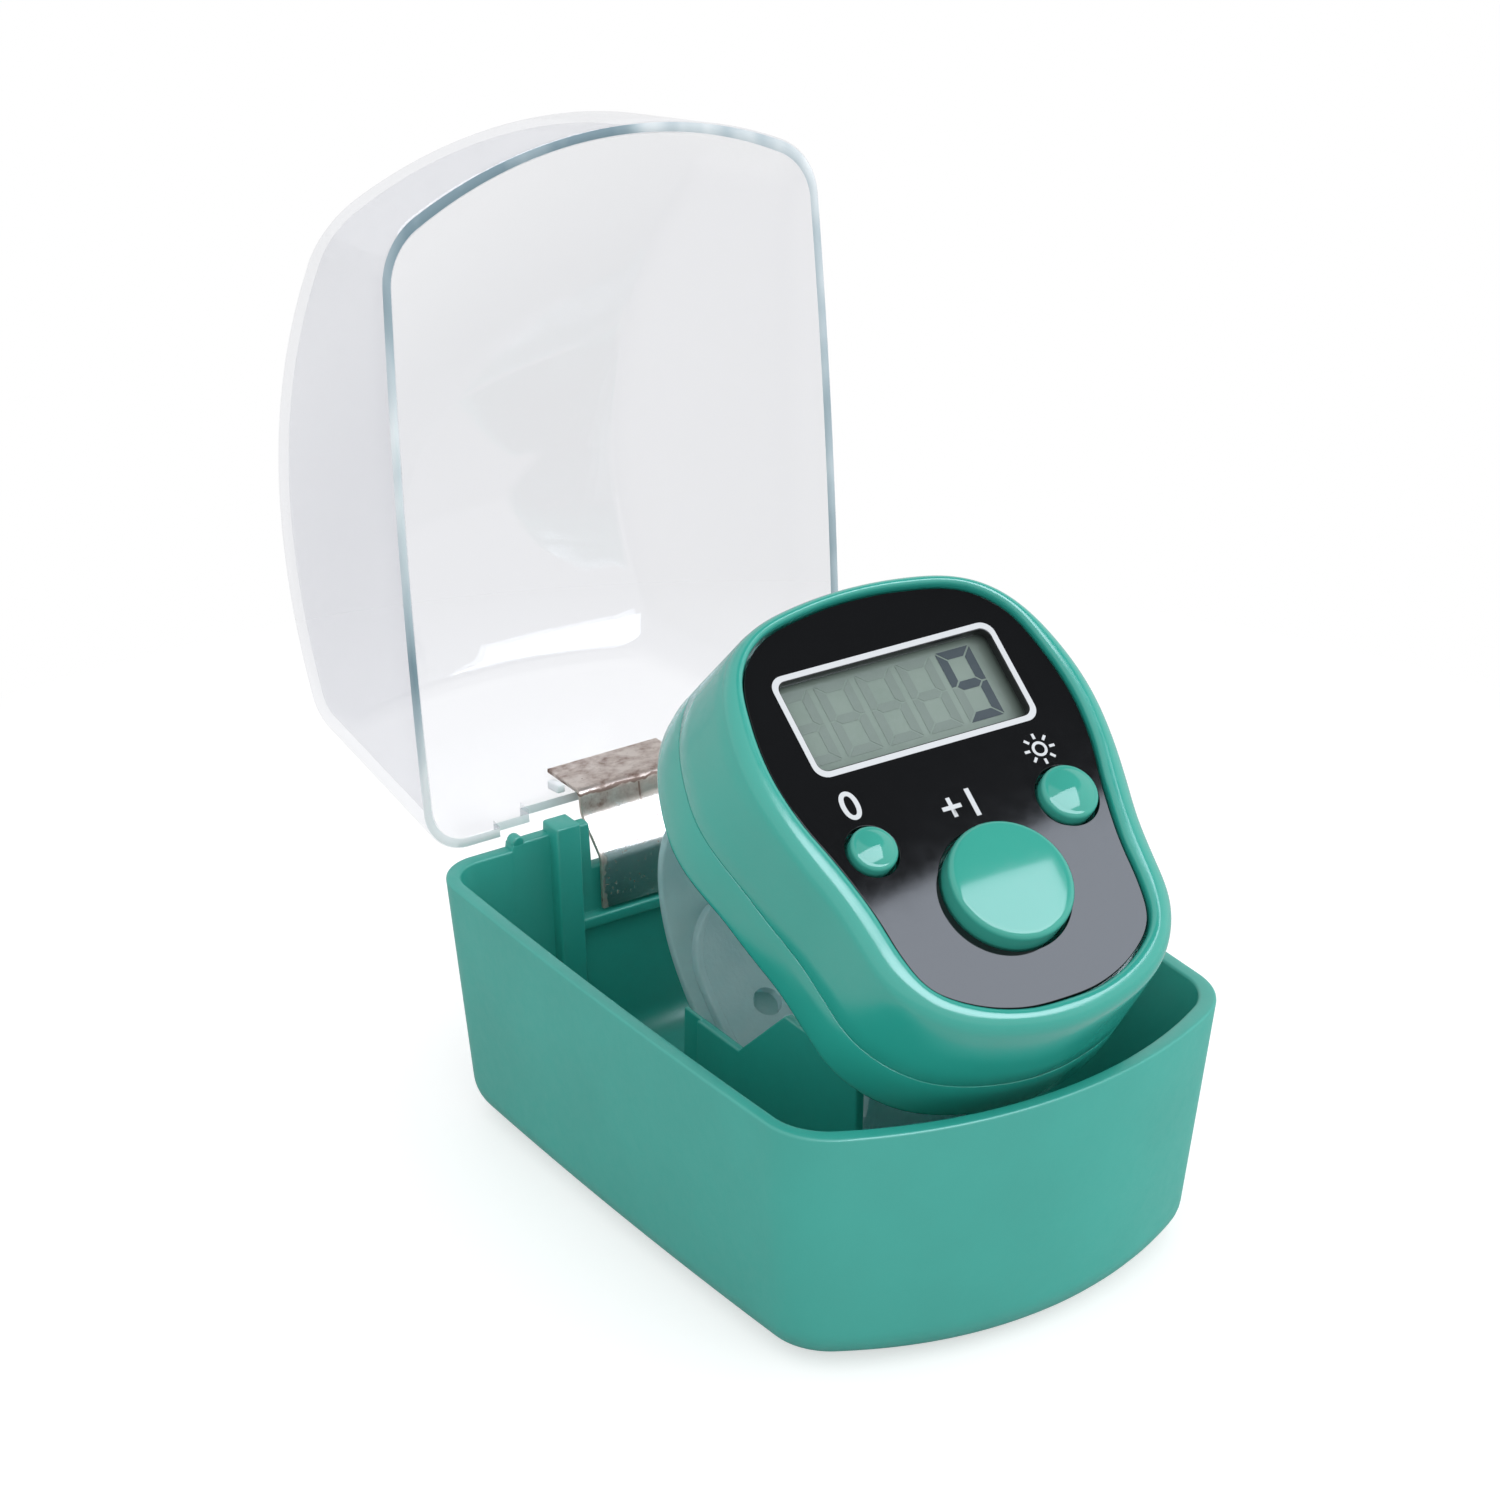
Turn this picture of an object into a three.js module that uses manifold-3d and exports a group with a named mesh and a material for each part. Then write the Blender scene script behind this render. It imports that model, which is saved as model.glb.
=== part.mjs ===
// Digital finger tally counter on a strap, standing in its hinged keepsake box.
// Millimetres, +Z up. The origin is the centre of the box's underside; the hinge is at +Y,
// the bowed front wall at -Y, and the box stands open as the counter is shown in it.
import * as THREE from 'three';
import { mergeVertices } from 'three/addons/utils/BufferGeometryUtils.js';
import Module from 'manifold-3d';

const wasm = await Module();
wasm.setup();

// Driving dimensions of the box

const box = {
  halfWidth: 20,        // at the rim
  backY: 24.56,         // outer face of the back wall at the rim
  frontY: -24.48,       // where the front wall's bow starts
  frontBow: 5.5,        // how far the front wall bows out
  sideBow: 0.37,
  height: 20.47,
  wall: 1.15,
  floor: 1.8,
  backRadius: 3.9,
  frontRadius: 5.7,
  footRadius: 3.2,      // rounding between walls and underside
  sideDraft: 1.63,      // how much each wall leans in from rim to underside
  backDraft: 1.97,
  frontDraft: 1.19,
};

const rib = {
  gap: 6.6,             // inner face to the middle plane
  thickness: 0.8,
  backY: 5.6,
  frontY: -15.2,
  lowY: 0,
  peakY: -5.9,
  lowTop: 12.1,
  highTop: 17.9,
  toeLength: 2.3,
  toeThickness: 0.4,
};

const post = {
  gap: 7.2,             // inner side to the middle plane
  width: 2.2,
  depth: 1.1,           // how far it stands in from the back wall
  rise: 1.35,           // above the rim
};

const tab = {
  reach: 12.8,          // half-length of the raised stretch of the back rim
  rise: 0.5,
  bumpRadius: 0.55,
  notchDepth: 3.27,     // depth of the gap that the spring clip passes through
  ledgeDrop: 6.97,      // from the rim down to the ledge under the clip
  ledgeThickness: 1,
};
const notchFloor = box.height - tab.notchDepth;
const ledgeTop = box.height - tab.ledgeDrop;

// Driving dimensions of the lid, given as it lies closed

const lid = {
  seamGap: 0.3,
  wall: 0.95,
  top: 29.8,            // highest outside point over the rim
  crestY: 4.7,          // where the dome is highest
  domeRadius: 29.8,     // curve of the dome from front to back
  crown: 3.8,           // drop of the dome from the middle to crownReach
  crownReach: 17,
  sideLean: 0.142,      // lean of each wall per mm of height
  backLean: 0.125,
  frontLean: 0.075,
  edgeRadius: 1.5,
  notchGap: 0.35,
  clipNotch: 2.6,       // height of the notch over the spring clip
  hookThickness: 0.7,
  hookHeight: 1.6,
  hookLength: 3.4,
};

// The hinge line stands just outside the back wall and just over the rim
const hinge = { behind: 0.23, above: 0.48, openAngle: 96.8 };
const hingeY = box.backY + hinge.behind;
const hingeZ = box.height + hinge.above;

const clip = {
  halfWidth: 4.9,
  thickness: 0.35,
  kneeBack: 0.35,       // from the leg's foot to its knee
  kneeRise: 0.9,
  slopeEnd: 0.5,        // how far behind the hinge line the slope and the step over it end
  stepEnd: 0.85,
  stepHeight: 1.8,
  plateEnd: 5.5,
  bend: 0.5,            // length of each bend on both sides of its corner
};

// Driving dimensions of the counter; its own axes are x across, y up the face, z out of it

const counter = {
  place: [-0.06, -16.38, 38.65],   // middle of the face in the box
  lean: 35.6,
  twist: -2.2,
  roll: -1.5,
  lipHeight: 0.6,       // the rim round the face stands this far over the panel
  lipInset: 0.4,        // how far the body is drawn in at the face
  flare: 1,             // how far its upper lobe widens down to flareDepth
  flareDepth: 10.5,
  flareTop: 8,          // height on the face from which the flare is full; it starts in the middle
  edgeRadius: 1.4,
  parting: -7.8,        // where front and back shells meet
  seamGap: 0.3,
  back: -13.3,
  backRadius: 1.4,
  wall: 1.3,
  backFloor: 1.5,
  lapHeight: 1.5,
  lapThickness: 0.8,
};

const gap = 0.3;        // clearance between pieces that sit on each other

const panel = { thickness: 0.8, plate: 1.2, sideGap: 0.2, flare: 0.3 };

const lcd = {
  y: 8.6, width: 20, height: 9.2, thickness: 2.2,
  windowWidth: 18.25, windowHeight: 7.56, windowRadius: 0.7,
};

const buttons = {
  count: { x: 0, y: -7.7, radius: 4.82, top: 1.7, crown: 0.12, edge: 0.5, flange: 1.1 },
  reset: { x: -8.4, y: -2.1, radius: 1.82, top: 1.0, crown: 0.35, edge: 0.35, flange: 0.8 },
  light: { x: 8.4, y: -2.2, radius: 2.24, top: 1.2, crown: 0.4, edge: 0.4, flange: 0.8 },
};
const buttonGap = 0.25;
const flangeThickness = 0.6;

const board = { top: -5.3, thickness: 1, inset: 1.8 };
const keypad = { halfWidth: 11.2, bottomY: -10.8, topY: 1, thickness: 0.5, domeTop: -4.1, domeRadius: 1.6 };
const zebra = { width: 19, depth: 1.6 };
const lightGuide = { width: 19, bottomY: 6.4, topY: 11.9 };
const lamp = { x: -11.4, y: 9.4, width: 1.6, length: 3, height: 1.2 };
const blob = { y: -8.4, radius: 3.2, height: 0.9 };

const cell = { x: 6.1, y: 5.2, radius: 5.8, height: 3.05, wellGap: 0.3, wellWall: 0.65, wellHeight: 2.4 };
const contact = { width: 4, metal: 0.3, reach: 4, discRadius: 4.2 };
const door = {
  halfWidth: 12.8, bottomY: -5.1, topY: 12.2, thickness: 0.6, step: 0.9, radius: 1.6, sideGap: 0.25,
};
const doorScrewY = -3;

const screw = { headRadius: 1.3, headHeight: 0.8, shankRadius: 0.75, length: 7.2, recess: 1.1, slot: 0.35 };
const screwPlaces = [[9.3, 14.5], [-9.3, 14.5], [8.6, -13.2], [-8.6, -13.2]];
const bossRadius = 1.9;
const boreRadius = 1.1;

// Driving dimensions of the strap; its loop is drawn in the counter's y and z

const strap = {
  bandHalfWidth: 5.5,
  tongueHalfWidth: 4.7,
  thickness: 0.8,
  border: 0.6,          // width of the raised edge
  borderRise: 0.22,
  headThickness: 0.9,   // T-shaped end inside the back shell
  headDepth: 1.7,
  headSpread: 1,
  slant: 0.45,          // the slots' allowance for the strap's slope
  sway: 0.031,          // how far the loop hangs to one side, per mm of drop
  bandLength: 0.62,     // share of the loop that the outer band covers
  tongueTip: 0.335,     // where along the loop the tongue's tip lies
  tipStretch: 1.5,      // length of the tongue's rounded end, in half-widths
  holeRadius: 1.2,
  holePitch: 5,
  firstHole: 10.2,      // from the tongue's tip
  holes: 4,
  studHole: 1,          // which hole the band's stud sits in, counted from 0 at the tip
  studRadius: 0.9,
};
const strapLoop = [
  [15.5, -11], [16, -20], [16.5, -28.5], [14.9, -34], [10.2, -37.7], [3.4, -39.1],
  [-4.6, -38.6], [-10.6, -35.2], [-14.8, -30.2], [-14.3, -23.9], [-10.7, -17.2], [-8.5, -11],
];

// Half outlines of the counter, from the middle of the top down to the middle of the bottom

const bodyHalf = [
  [0, 18.8], [4.6, 18.5], [8.4, 17.7], [11.3, 16.1], [13.4, 13.4], [14.8, 9.4], [15.3, 5.2], [15, 1.4],
  [14.3, -2.2], [13.5, -5.6], [13.1, -9], [12.8, -11.6], [11.8, -14], [9.4, -16.7], [6, -18.4], [0, -19.4],
];
const panelHalf = [
  [0, 17.3], [4.2, 17], [8.7, 15.9], [11.3, 13.5], [12.5, 9.6], [12.95, 5.4], [12.5, 1.4], [11.5, -2.2],
  [10.6, -6.6], [10.2, -10.6], [9.4, -13.3], [6.6, -15.5], [3.2, -16.7], [0, -16.9],
];

// Solids

function toSolid(geometry) {
  const bare = geometry.clone();
  bare.deleteAttribute('normal');
  bare.deleteAttribute('uv');
  const merged = mergeVertices(bare, 1e-5);
  const index = merged.index.array;
  const faces = [];
  for (let i = 0; i < index.length; i += 3) {
    const [a, b, c] = index.slice(i, i + 3);
    if (a !== b && b !== c && c !== a) faces.push(a, b, c);
  }
  return new wasm.Manifold(new wasm.Mesh({
    numProp: 3,
    vertProperties: Float32Array.from(merged.attributes.position.array),
    triVerts: Uint32Array.from(faces),
  }));
}

function toGeometry(solid) {
  const mesh = solid.getMesh();
  const geometry = new THREE.BufferGeometry();
  geometry.setAttribute('position', new THREE.BufferAttribute(Float32Array.from(mesh.vertProperties), 3));
  geometry.setIndex(new THREE.BufferAttribute(Uint32Array.from(mesh.triVerts), 1));
  return geometry;
}

function cut(solid, ...tools) {
  return tools.reduce((rest, tool) => rest.subtract(tool), solid);
}

function join(solid, ...others) {
  return others.reduce((sum, other) => sum.add(other), solid);
}

// A closed skin over rings of equal count, which run anticlockwise seen from the last ring's side
function loft(rings, start, end) {
  const count = rings[0].length;
  const points = rings.flat();
  const faces = [];
  for (let r = 0; r + 1 < rings.length; r++) {
    for (let i = 0; i < count; i++) {
      const a = r * count + i;
      const b = r * count + (i + 1) % count;
      faces.push(a, b, b + count, a, b + count, a + count);
    }
  }
  const first = points.push(start ?? centroid(rings[0])) - 1;
  const last = points.push(end ?? centroid(rings.at(-1))) - 1;
  const base = (rings.length - 1) * count;
  for (let i = 0; i < count; i++) {
    const next = (i + 1) % count;
    faces.push(first, next, i);
    faces.push(last, base + i, base + next);
  }
  const geometry = new THREE.BufferGeometry().setFromPoints(points);
  geometry.setIndex(faces);
  return geometry;
}

function centroid(ring) {
  const sum = ring.reduce((total, point) => total.add(point), new THREE.Vector3());
  return sum.divideScalar(ring.length);
}

function level(outline, z) {
  return outline.map((point) => new THREE.Vector3(point.x, point.y, z));
}

function prism(outline, bottom, top) {
  const settings = { depth: top - bottom, bevelEnabled: false };
  const geometry = new THREE.ExtrudeGeometry(new THREE.Shape(outline), settings);
  geometry.translate(0, 0, bottom);
  return toSolid(geometry);
}

function roundRect(x0, x1, y0, y1, radius, steps = 4) {
  const corners = [[x1, y1, 0], [x0, y1, 90], [x0, y0, 180], [x1, y0, 270]];
  return corners.flatMap(([x, y, from]) => {
    const inX = x === x1 ? -radius : radius;
    const inY = y === y1 ? -radius : radius;
    return arc(new THREE.Vector2(x + inX, y + inY), radius, from, from + 90, steps);
  });
}

function arc(centre, radius, from, to, steps) {
  return Array.from({ length: steps + 1 }, (_, i) => {
    const angle = THREE.MathUtils.degToRad(from + (to - from) * i / steps);
    return new THREE.Vector2(centre.x + radius * Math.cos(angle), centre.y + radius * Math.sin(angle));
  });
}

function block(x0, x1, y0, y1, z0, z1) {
  const geometry = new THREE.BoxGeometry(x1 - x0, y1 - y0, z1 - z0);
  geometry.translate((x0 + x1) / 2, (y0 + y1) / 2, (z0 + z1) / 2);
  return toSolid(geometry);
}

function rod(x, y, radius, z0, z1, sides = 16) {
  const geometry = new THREE.CylinderGeometry(radius, radius, z1 - z0, sides);
  geometry.rotateX(Math.PI / 2);
  geometry.translate(x, y, (z0 + z1) / 2);
  return toSolid(geometry);
}

// A turned piece: the profile gives radius and height, from the axis at the bottom to the axis at the top
function turned(profile, x, y, sides = 24) {
  const geometry = new THREE.LatheGeometry(profile.map(([r, z]) => new THREE.Vector2(r, z)), sides);
  geometry.rotateX(Math.PI / 2);
  geometry.translate(x, y, 0);
  return toSolid(geometry);
}

function extrudedAlongX(outline, x0, x1) {
  const shape = new THREE.Shape(outline.map(([y, z]) => new THREE.Vector2(y, z)));
  const geometry = new THREE.ExtrudeGeometry(shape, { depth: x1 - x0, bevelEnabled: false });
  geometry.applyMatrix4(new THREE.Matrix4().makeBasis(
    new THREE.Vector3(0, 1, 0), new THREE.Vector3(0, 0, 1), new THREE.Vector3(1, 0, 0)));
  geometry.translate(x0, 0, 0);
  return toSolid(geometry);
}

function mirrored(solid) {
  return solid.add(solid.mirror([1, 0, 0]));
}

// Outlines

// The box's plan: straight back, nearly straight sides and a bowed front, drawn in by each lean
function boxPlan(side, back, front, inset = 0) {
  const half = box.halfWidth - side - inset;
  const backY = box.backY - back - inset;
  const frontY = box.frontY + front + inset;
  const backR = Math.max(box.backRadius - inset, 0.4);
  const frontR = Math.max(box.frontRadius - inset, 0.4);
  const bowR = (half ** 2 + box.frontBow ** 2) / (2 * box.frontBow);
  const bowY = frontY - box.frontBow + bowR;
  const cornerX = half - frontR;
  const cornerY = bowY - Math.sqrt((bowR - frontR) ** 2 - cornerX ** 2);
  const turn = THREE.MathUtils.radToDeg(Math.atan2(cornerX, bowY - cornerY));
  const right = [
    ...arc(new THREE.Vector2(0, bowY), bowR, 270, 270 + turn, 7),
    ...arc(new THREE.Vector2(cornerX, cornerY), frontR, 270 + turn, 360, 6).slice(1),
    ...[0.25, 0.5, 0.75].map((share) =>
      new THREE.Vector2(half, THREE.MathUtils.lerp(cornerY, backY - backR, share))),
    ...arc(new THREE.Vector2(half - backR, backY - backR), backR, 0, 90, 5),
    new THREE.Vector2(half * 0.4, backY),
  ];
  const middle = (cornerY + backY - backR) / 2;
  const reach = (backY - backR - cornerY) / 2;
  for (const point of right) {
    if (Math.abs(point.y - middle) < reach) {
      point.x += box.sideBow * (1 - ((point.y - middle) / reach) ** 2);
    }
  }
  const left = right.slice(1).reverse().map((point) => new THREE.Vector2(-point.x, point.y));
  return [...right, ...left];
}

// A closed curve through a half outline and its mirror image, as evenly spaced points.
// The inset draws it in, and lean adds an inset of its own at each height y.
function closedOutline(half, inset = 0, lean = () => 0, count = 44) {
  const left = half.slice(1, -1).reverse().map(([x, y]) => [-x, y]);
  const points = [...half, ...left].map(([x, y]) => new THREE.Vector3(x, y, 0));
  const curve = new THREE.CatmullRomCurve3(points, true, 'centripetal');
  const ring = curve.getSpacedPoints(count).slice(0, count).reverse();
  return ring.map((point, i) => {
    const before = ring[(i + count - 1) % count];
    const after = ring[(i + 1) % count];
    const along = new THREE.Vector2(after.x - before.x, after.y - before.y).normalize();
    const inwards = inset + lean(point.y);
    return new THREE.Vector2(point.x - along.y * inwards, point.y + along.x * inwards);
  });
}

// The body's outline at a depth: drawn in at the face, and flared below it in the upper lobe
function bodyRing(inset, z) {
  const depth = THREE.MathUtils.clamp(-z / counter.flareDepth, 0, 1);
  const lean = (y) => counter.lipInset * (1 - depth)
    - counter.flare * depth * THREE.MathUtils.smoothstep(y, 0, counter.flareTop);
  return level(closedOutline(bodyHalf, inset, lean), z);
}

function bodyPrism(inset, bottom, top) {
  return toSolid(loft([bodyRing(inset, bottom), bodyRing(inset, top)]));
}

// Quarter round between a wall and a face, as [inset, height] steps
function quarterRound(radius, steps) {
  return Array.from({ length: steps + 1 }, (_, i) => {
    const angle = i / steps * Math.PI / 2;
    return [radius * (1 - Math.cos(angle)), radius * Math.sin(angle)];
  });
}

// Box

function boxRing(inset, z) {
  const low = 1 - z / box.height;
  return level(boxPlan(box.sideDraft * low, box.backDraft * low, box.frontDraft * low, inset), z);
}

function makeTray() {
  const foot = quarterRound(box.footRadius, 4).reverse();
  const outer = foot.map(([inset, rise]) => boxRing(inset, box.footRadius - rise));
  const inside = quarterRound(box.footRadius - box.wall, 4);
  const bend = box.footRadius - box.wall;
  const inner = inside.map(([inset, rise]) => boxRing(box.wall + inset, box.floor + bend - rise));
  const tray = toSolid(loft([...outer, boxRing(0, box.height), boxRing(box.wall, box.height), ...inner]));
  const backWall = innerBackY(box.height);
  const raised = join(
    block(-tab.reach, tab.reach, backWall, box.backY, box.height - 1, box.height + tab.rise),
    mirrored(bump()),
    mirrored(guidePost()),
    block(-post.gap - 0.5, post.gap + 0.5, innerBackY(ledgeTop) - post.depth, box.backY - 1.2,
      ledgeTop - tab.ledgeThickness, ledgeTop),
  );
  const clipGap = block(-post.gap, post.gap, innerBackY(notchFloor) - 0.2, box.backY + 1,
    notchFloor, box.height + 5);
  return join(cut(tray.add(raised), clipGap), mirrored(cradleRib()));
}

function innerBackY(z) {
  return box.backY - box.backDraft * (1 - z / box.height) - box.wall;
}

function bump() {
  const geometry = new THREE.CylinderGeometry(tab.bumpRadius, tab.bumpRadius, box.wall - 0.1, 16);
  geometry.translate(tab.reach - tab.bumpRadius, box.backY - box.wall / 2, box.height + tab.rise);
  return toSolid(geometry);
}

// Upright rail beside the clip, from the floor to above the rim
function guidePost() {
  const bottomBack = innerBackY(box.floor) + 0.3;
  const topBack = box.backY;
  const outline = [
    [bottomBack - post.depth - 0.3, box.floor - 0.3], [bottomBack, box.floor - 0.3],
    [innerBackY(box.height) + 0.3, box.height - 0.5], [topBack, box.height - 0.5],
    [topBack, box.height + post.rise], [innerBackY(box.height) - post.depth, box.height + post.rise],
  ];
  return extrudedAlongX(outline, post.gap, post.gap + post.width);
}

// Stepped plate that keeps the strap's loop in the middle of the box
function cradleRib() {
  const low = box.floor - 0.3;
  const plate = extrudedAlongX([
    [rib.backY, low], [rib.backY, rib.lowTop], [rib.lowY, rib.lowTop],
    [rib.peakY, rib.highTop], [rib.frontY, rib.highTop], [rib.frontY, low],
  ].reverse(), rib.gap, rib.gap + rib.thickness);
  const toe = block(rib.gap, rib.gap + rib.toeThickness,
    rib.backY - 0.2, rib.backY + rib.toeLength, low, rib.lowTop);
  return plate.add(toe);
}

// Lid, drawn closed

function domeHeight(x, y, skin) {
  const along = (y - lid.crestY) ** 2 / (2 * lid.domeRadius);
  return lid.top - skin - along - lid.crown * (x / lid.crownReach) ** 2;
}

// Rings of one face of the lid, from the rim to near the top; skin is its depth under the outside
function lidRings(skin) {
  const plan = (height) => boxPlan(
    lid.sideLean * height, lid.backLean * height, lid.frontLean * height, skin);
  const radius = Math.max(lid.edgeRadius - skin, 0.5);
  const top = new THREE.Vector2(0, lid.crestY);
  const walls = plan(0).map((_, i) => {
    const wallAt = (height) => plan(height)[i];
    let low = 0;
    let high = lid.top;
    for (let step = 0; step < 24; step++) {
      const middle = (low + high) / 2;
      const point = wallAt(middle);
      if (middle < domeHeight(point.x, point.y, skin)) {
        low = middle;
      } else {
        high = middle;
      }
    }
    return { height: low, wallAt };
  });
  const rings = [0, 0.5].map((share) => walls.map(({ height, wallAt }) => {
    const rise = (height - radius) * share;
    const point = wallAt(rise);
    return new THREE.Vector3(point.x, point.y, rise);
  }));
  for (const share of [0, 0.3, 0.6, 1]) {
    rings.push(walls.map(({ height, wallAt }) => {
      const wall = wallAt(height - radius);
      const corner = wallAt(height);
      const inward = top.clone().sub(corner).setLength(radius);
      const face = corner.clone().add(inward);
      const from = new THREE.Vector3(wall.x, wall.y, height - radius);
      const bend = new THREE.Vector3(corner.x, corner.y, height);
      const to = new THREE.Vector3(face.x, face.y, domeHeight(face.x, face.y, skin));
      return new THREE.QuadraticBezierCurve3(from, bend, to).getPoint(share);
    }));
  }
  const edge = rings.at(-1);
  for (const share of [0.25, 0.5, 0.75]) {
    rings.push(edge.map((point) => {
      const x = point.x * (1 - share);
      const y = THREE.MathUtils.lerp(point.y, top.y, share);
      return new THREE.Vector3(x, y, domeHeight(x, y, skin));
    }));
  }
  return rings;
}

function makeLid() {
  const base = box.height + lid.seamGap;
  const lift = (ring) => ring.map((point) => point.clone().setZ(point.z + base));
  const outer = lidRings(0).map(lift);
  const inner = lidRings(lid.wall).map(lift);
  const inside = new THREE.Vector3(0, lid.crestY, base + lid.top - lid.wall);
  const outside = new THREE.Vector3(0, lid.crestY, base + lid.top);
  const shell = toSolid(loft([...inner.reverse(), ...outer], inside, outside));
  const back = box.backY - 3 * lid.wall;
  const tabNotch = block(-tab.reach - lid.notchGap, tab.reach + lid.notchGap, back, box.backY + 1,
    box.height, box.height + tab.rise + tab.bumpRadius + lid.notchGap);
  const reach = post.gap + post.width + lid.notchGap;
  const clipNotch = block(-reach, reach, back, box.backY + 1, box.height, base + lid.clipNotch);
  const hookX = clip.halfWidth + 1.4;
  const wallY = box.backY - lid.wall - lid.backLean * 4;
  const hook = block(hookX, hookX + lid.hookThickness, wallY - lid.hookHeight, wallY + 0.6,
    base + lid.clipNotch - 0.6, base + lid.clipNotch + lid.hookLength);
  return join(cut(shell, tabNotch, clipNotch), mirrored(hook));
}

// Spring clip over the hinge, bent as it is with the lid open

function makeClip() {
  const legY = innerBackY(ledgeTop) - gap - clip.thickness;
  const plateZ = hingeZ + hinge.behind + lid.wall + gap + clip.thickness / 2;
  const curve = bentLine([
    [legY, ledgeTop + gap],
    [legY + clip.kneeBack, notchFloor + clip.kneeRise],
    [hingeY + clip.slopeEnd, plateZ - clip.stepHeight],
    [hingeY + clip.stepEnd, plateZ],
    [hingeY + clip.plateEnd, plateZ],
  ], clip.bend);
  return ribbon(curve, { steps: 32, halfWidth: () => clip.halfWidth, thickness: clip.thickness });
}

// Straight stretches between corners that are rounded over the same reach on both sides
function bentLine(corners, reach) {
  const points = corners.map(([y, z]) => new THREE.Vector2(y, z));
  const path = new THREE.CurvePath();
  let from = points[0];
  for (let i = 1; i + 1 < points.length; i++) {
    const corner = points[i];
    const before = points[i - 1].clone().sub(corner).setLength(reach).add(corner);
    const after = points[i + 1].clone().sub(corner).setLength(reach).add(corner);
    path.add(new THREE.LineCurve(from, before));
    path.add(new THREE.QuadraticBezierCurve(before, corner, after));
    from = after;
  }
  path.add(new THREE.LineCurve(from, points.at(-1)));
  return path;
}

// A flat ribbon along a curve in y and z. Its halfWidth is given at each share of the curve,
// offset moves it to the curve's outer side, and border raises its edges on the inner side.
function ribbon(curve, { from = 0, to = 1, steps, halfWidth, thickness, offset = 0, border = 0, rise = 0 }) {
  const rings = [];
  for (let i = 0; i <= steps; i++) {
    const share = from + (to - from) * i / steps;
    const point = curve.getPointAt(share);
    const tangent = curve.getTangentAt(share);
    const half = halfWidth(share);
    const edge = Math.min(border, half / 2);
    const outer = offset + thickness / 2;
    const inner = offset - thickness / 2;
    const section = [[-half, outer], [half, outer]];
    if (rise > 0) {
      section.push([half, inner - rise], [half - edge, inner - rise], [half - edge * 1.4, inner],
        [-half + edge * 1.4, inner], [-half + edge, inner - rise], [-half, inner - rise]);
    } else {
      section.push([half, inner], [-half, inner]);
    }
    rings.push(section.map(([x, depth]) =>
      new THREE.Vector3(x, point.x - tangent.y * depth, point.y + tangent.x * depth)));
  }
  return toSolid(loft(rings));
}

// Counter housing

function makeFrontShell() {
  const plateTop = -panel.thickness - gap;
  const plateBottom = plateTop - panel.plate;
  const round = quarterRound(counter.edgeRadius, 4);
  const shoulder = counter.lipHeight - counter.edgeRadius;
  const outside = toSolid(loft([
    bodyRing(0, counter.parting), ...round.map(([inset, rise]) => bodyRing(inset, shoulder + rise)),
  ]));
  const seat = closedOutline(panelHalf, -panel.sideGap);
  const flare = closedOutline(panelHalf, -panel.sideGap - panel.flare);
  const recess = toSolid(loft([
    level(seat, plateTop), level(seat, 0.1), level(flare, counter.lipHeight + 0.05),
  ]));
  const cavity = bodyPrism(counter.wall, counter.parting - 1, plateBottom);
  const bosses = screwPlaces.map(([x, y]) =>
    rod(x, y, bossRadius, counter.parting, Math.min(plateBottom, bossTop(y))));
  const bores = screwPlaces.map(([x, y]) => rod(x, y, boreRadius, counter.parting - 1, counter.parting + 4));
  const viewX = lcd.width / 2 + gap;
  const viewY = lcd.height / 2 + gap;
  const viewOutline = roundRect(-viewX, viewX, lcd.y - viewY, lcd.y + viewY, 0.5);
  const view = prism(viewOutline, plateBottom - 1, plateTop + 1);
  const holes = Object.values(buttons).map(({ x, y, radius }) =>
    rod(x, y, radius + buttonGap, plateBottom - 1, plateTop + 1, 24));
  return cut(join(cut(outside, recess, cavity), ...bosses), ...bores, view, ...holes);
}

// The two upper bosses stop under the display
function bossTop(y) {
  return y > 0 ? -panel.thickness - gap - lcd.thickness - gap : 0;
}

function makeBackShell() {
  const top = counter.parting - counter.seamGap;
  const floorTop = counter.back + counter.backFloor;
  const round = quarterRound(counter.backRadius, 3).reverse();
  const outside = toSolid(loft([
    ...round.map(([inset, rise]) => bodyRing(inset, counter.back + counter.backRadius - rise)),
    bodyRing(0, top),
  ]));
  const shell = cut(outside, bodyPrism(counter.wall, floorTop, top + 1));
  const wellRadius = cell.radius + cell.wellGap + cell.wellWall;
  const wells = [-1, 1].map((side) =>
    rod(side * cell.x, cell.y, wellRadius, floorTop - 0.2, floorTop + cell.wellHeight, 20));
  const posts = screwPlaces.map(([x, y]) => rod(x, y, bossRadius, floorTop - 0.2, top));
  const doorPost = rod(0, doorScrewY, bossRadius, floorTop - 0.2, floorTop + 3);
  return cut(join(shell, makeLap(top), ...wells, ...posts, doorPost), ...backCuts(top, floorTop));
}

// Raised edge inside the seam: the front shell slips over it and the circuit board rests on it
function makeLap(top) {
  const outerInset = counter.wall + gap;
  const innerInset = outerInset + counter.lapThickness;
  const root = bodyPrism(counter.wall - 0.3, top - counter.lapHeight, top);
  const edge = bodyPrism(outerInset, top - counter.lapHeight, top + counter.lapHeight);
  const inside = bodyPrism(innerInset, top - counter.lapHeight - 1, top + counter.lapHeight + 1);
  const bosses = screwPlaces.map(([x, y]) => rod(x, y, bossRadius + gap, top, top + counter.lapHeight + 1));
  return cut(join(root, edge), inside, ...bosses);
}

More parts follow.
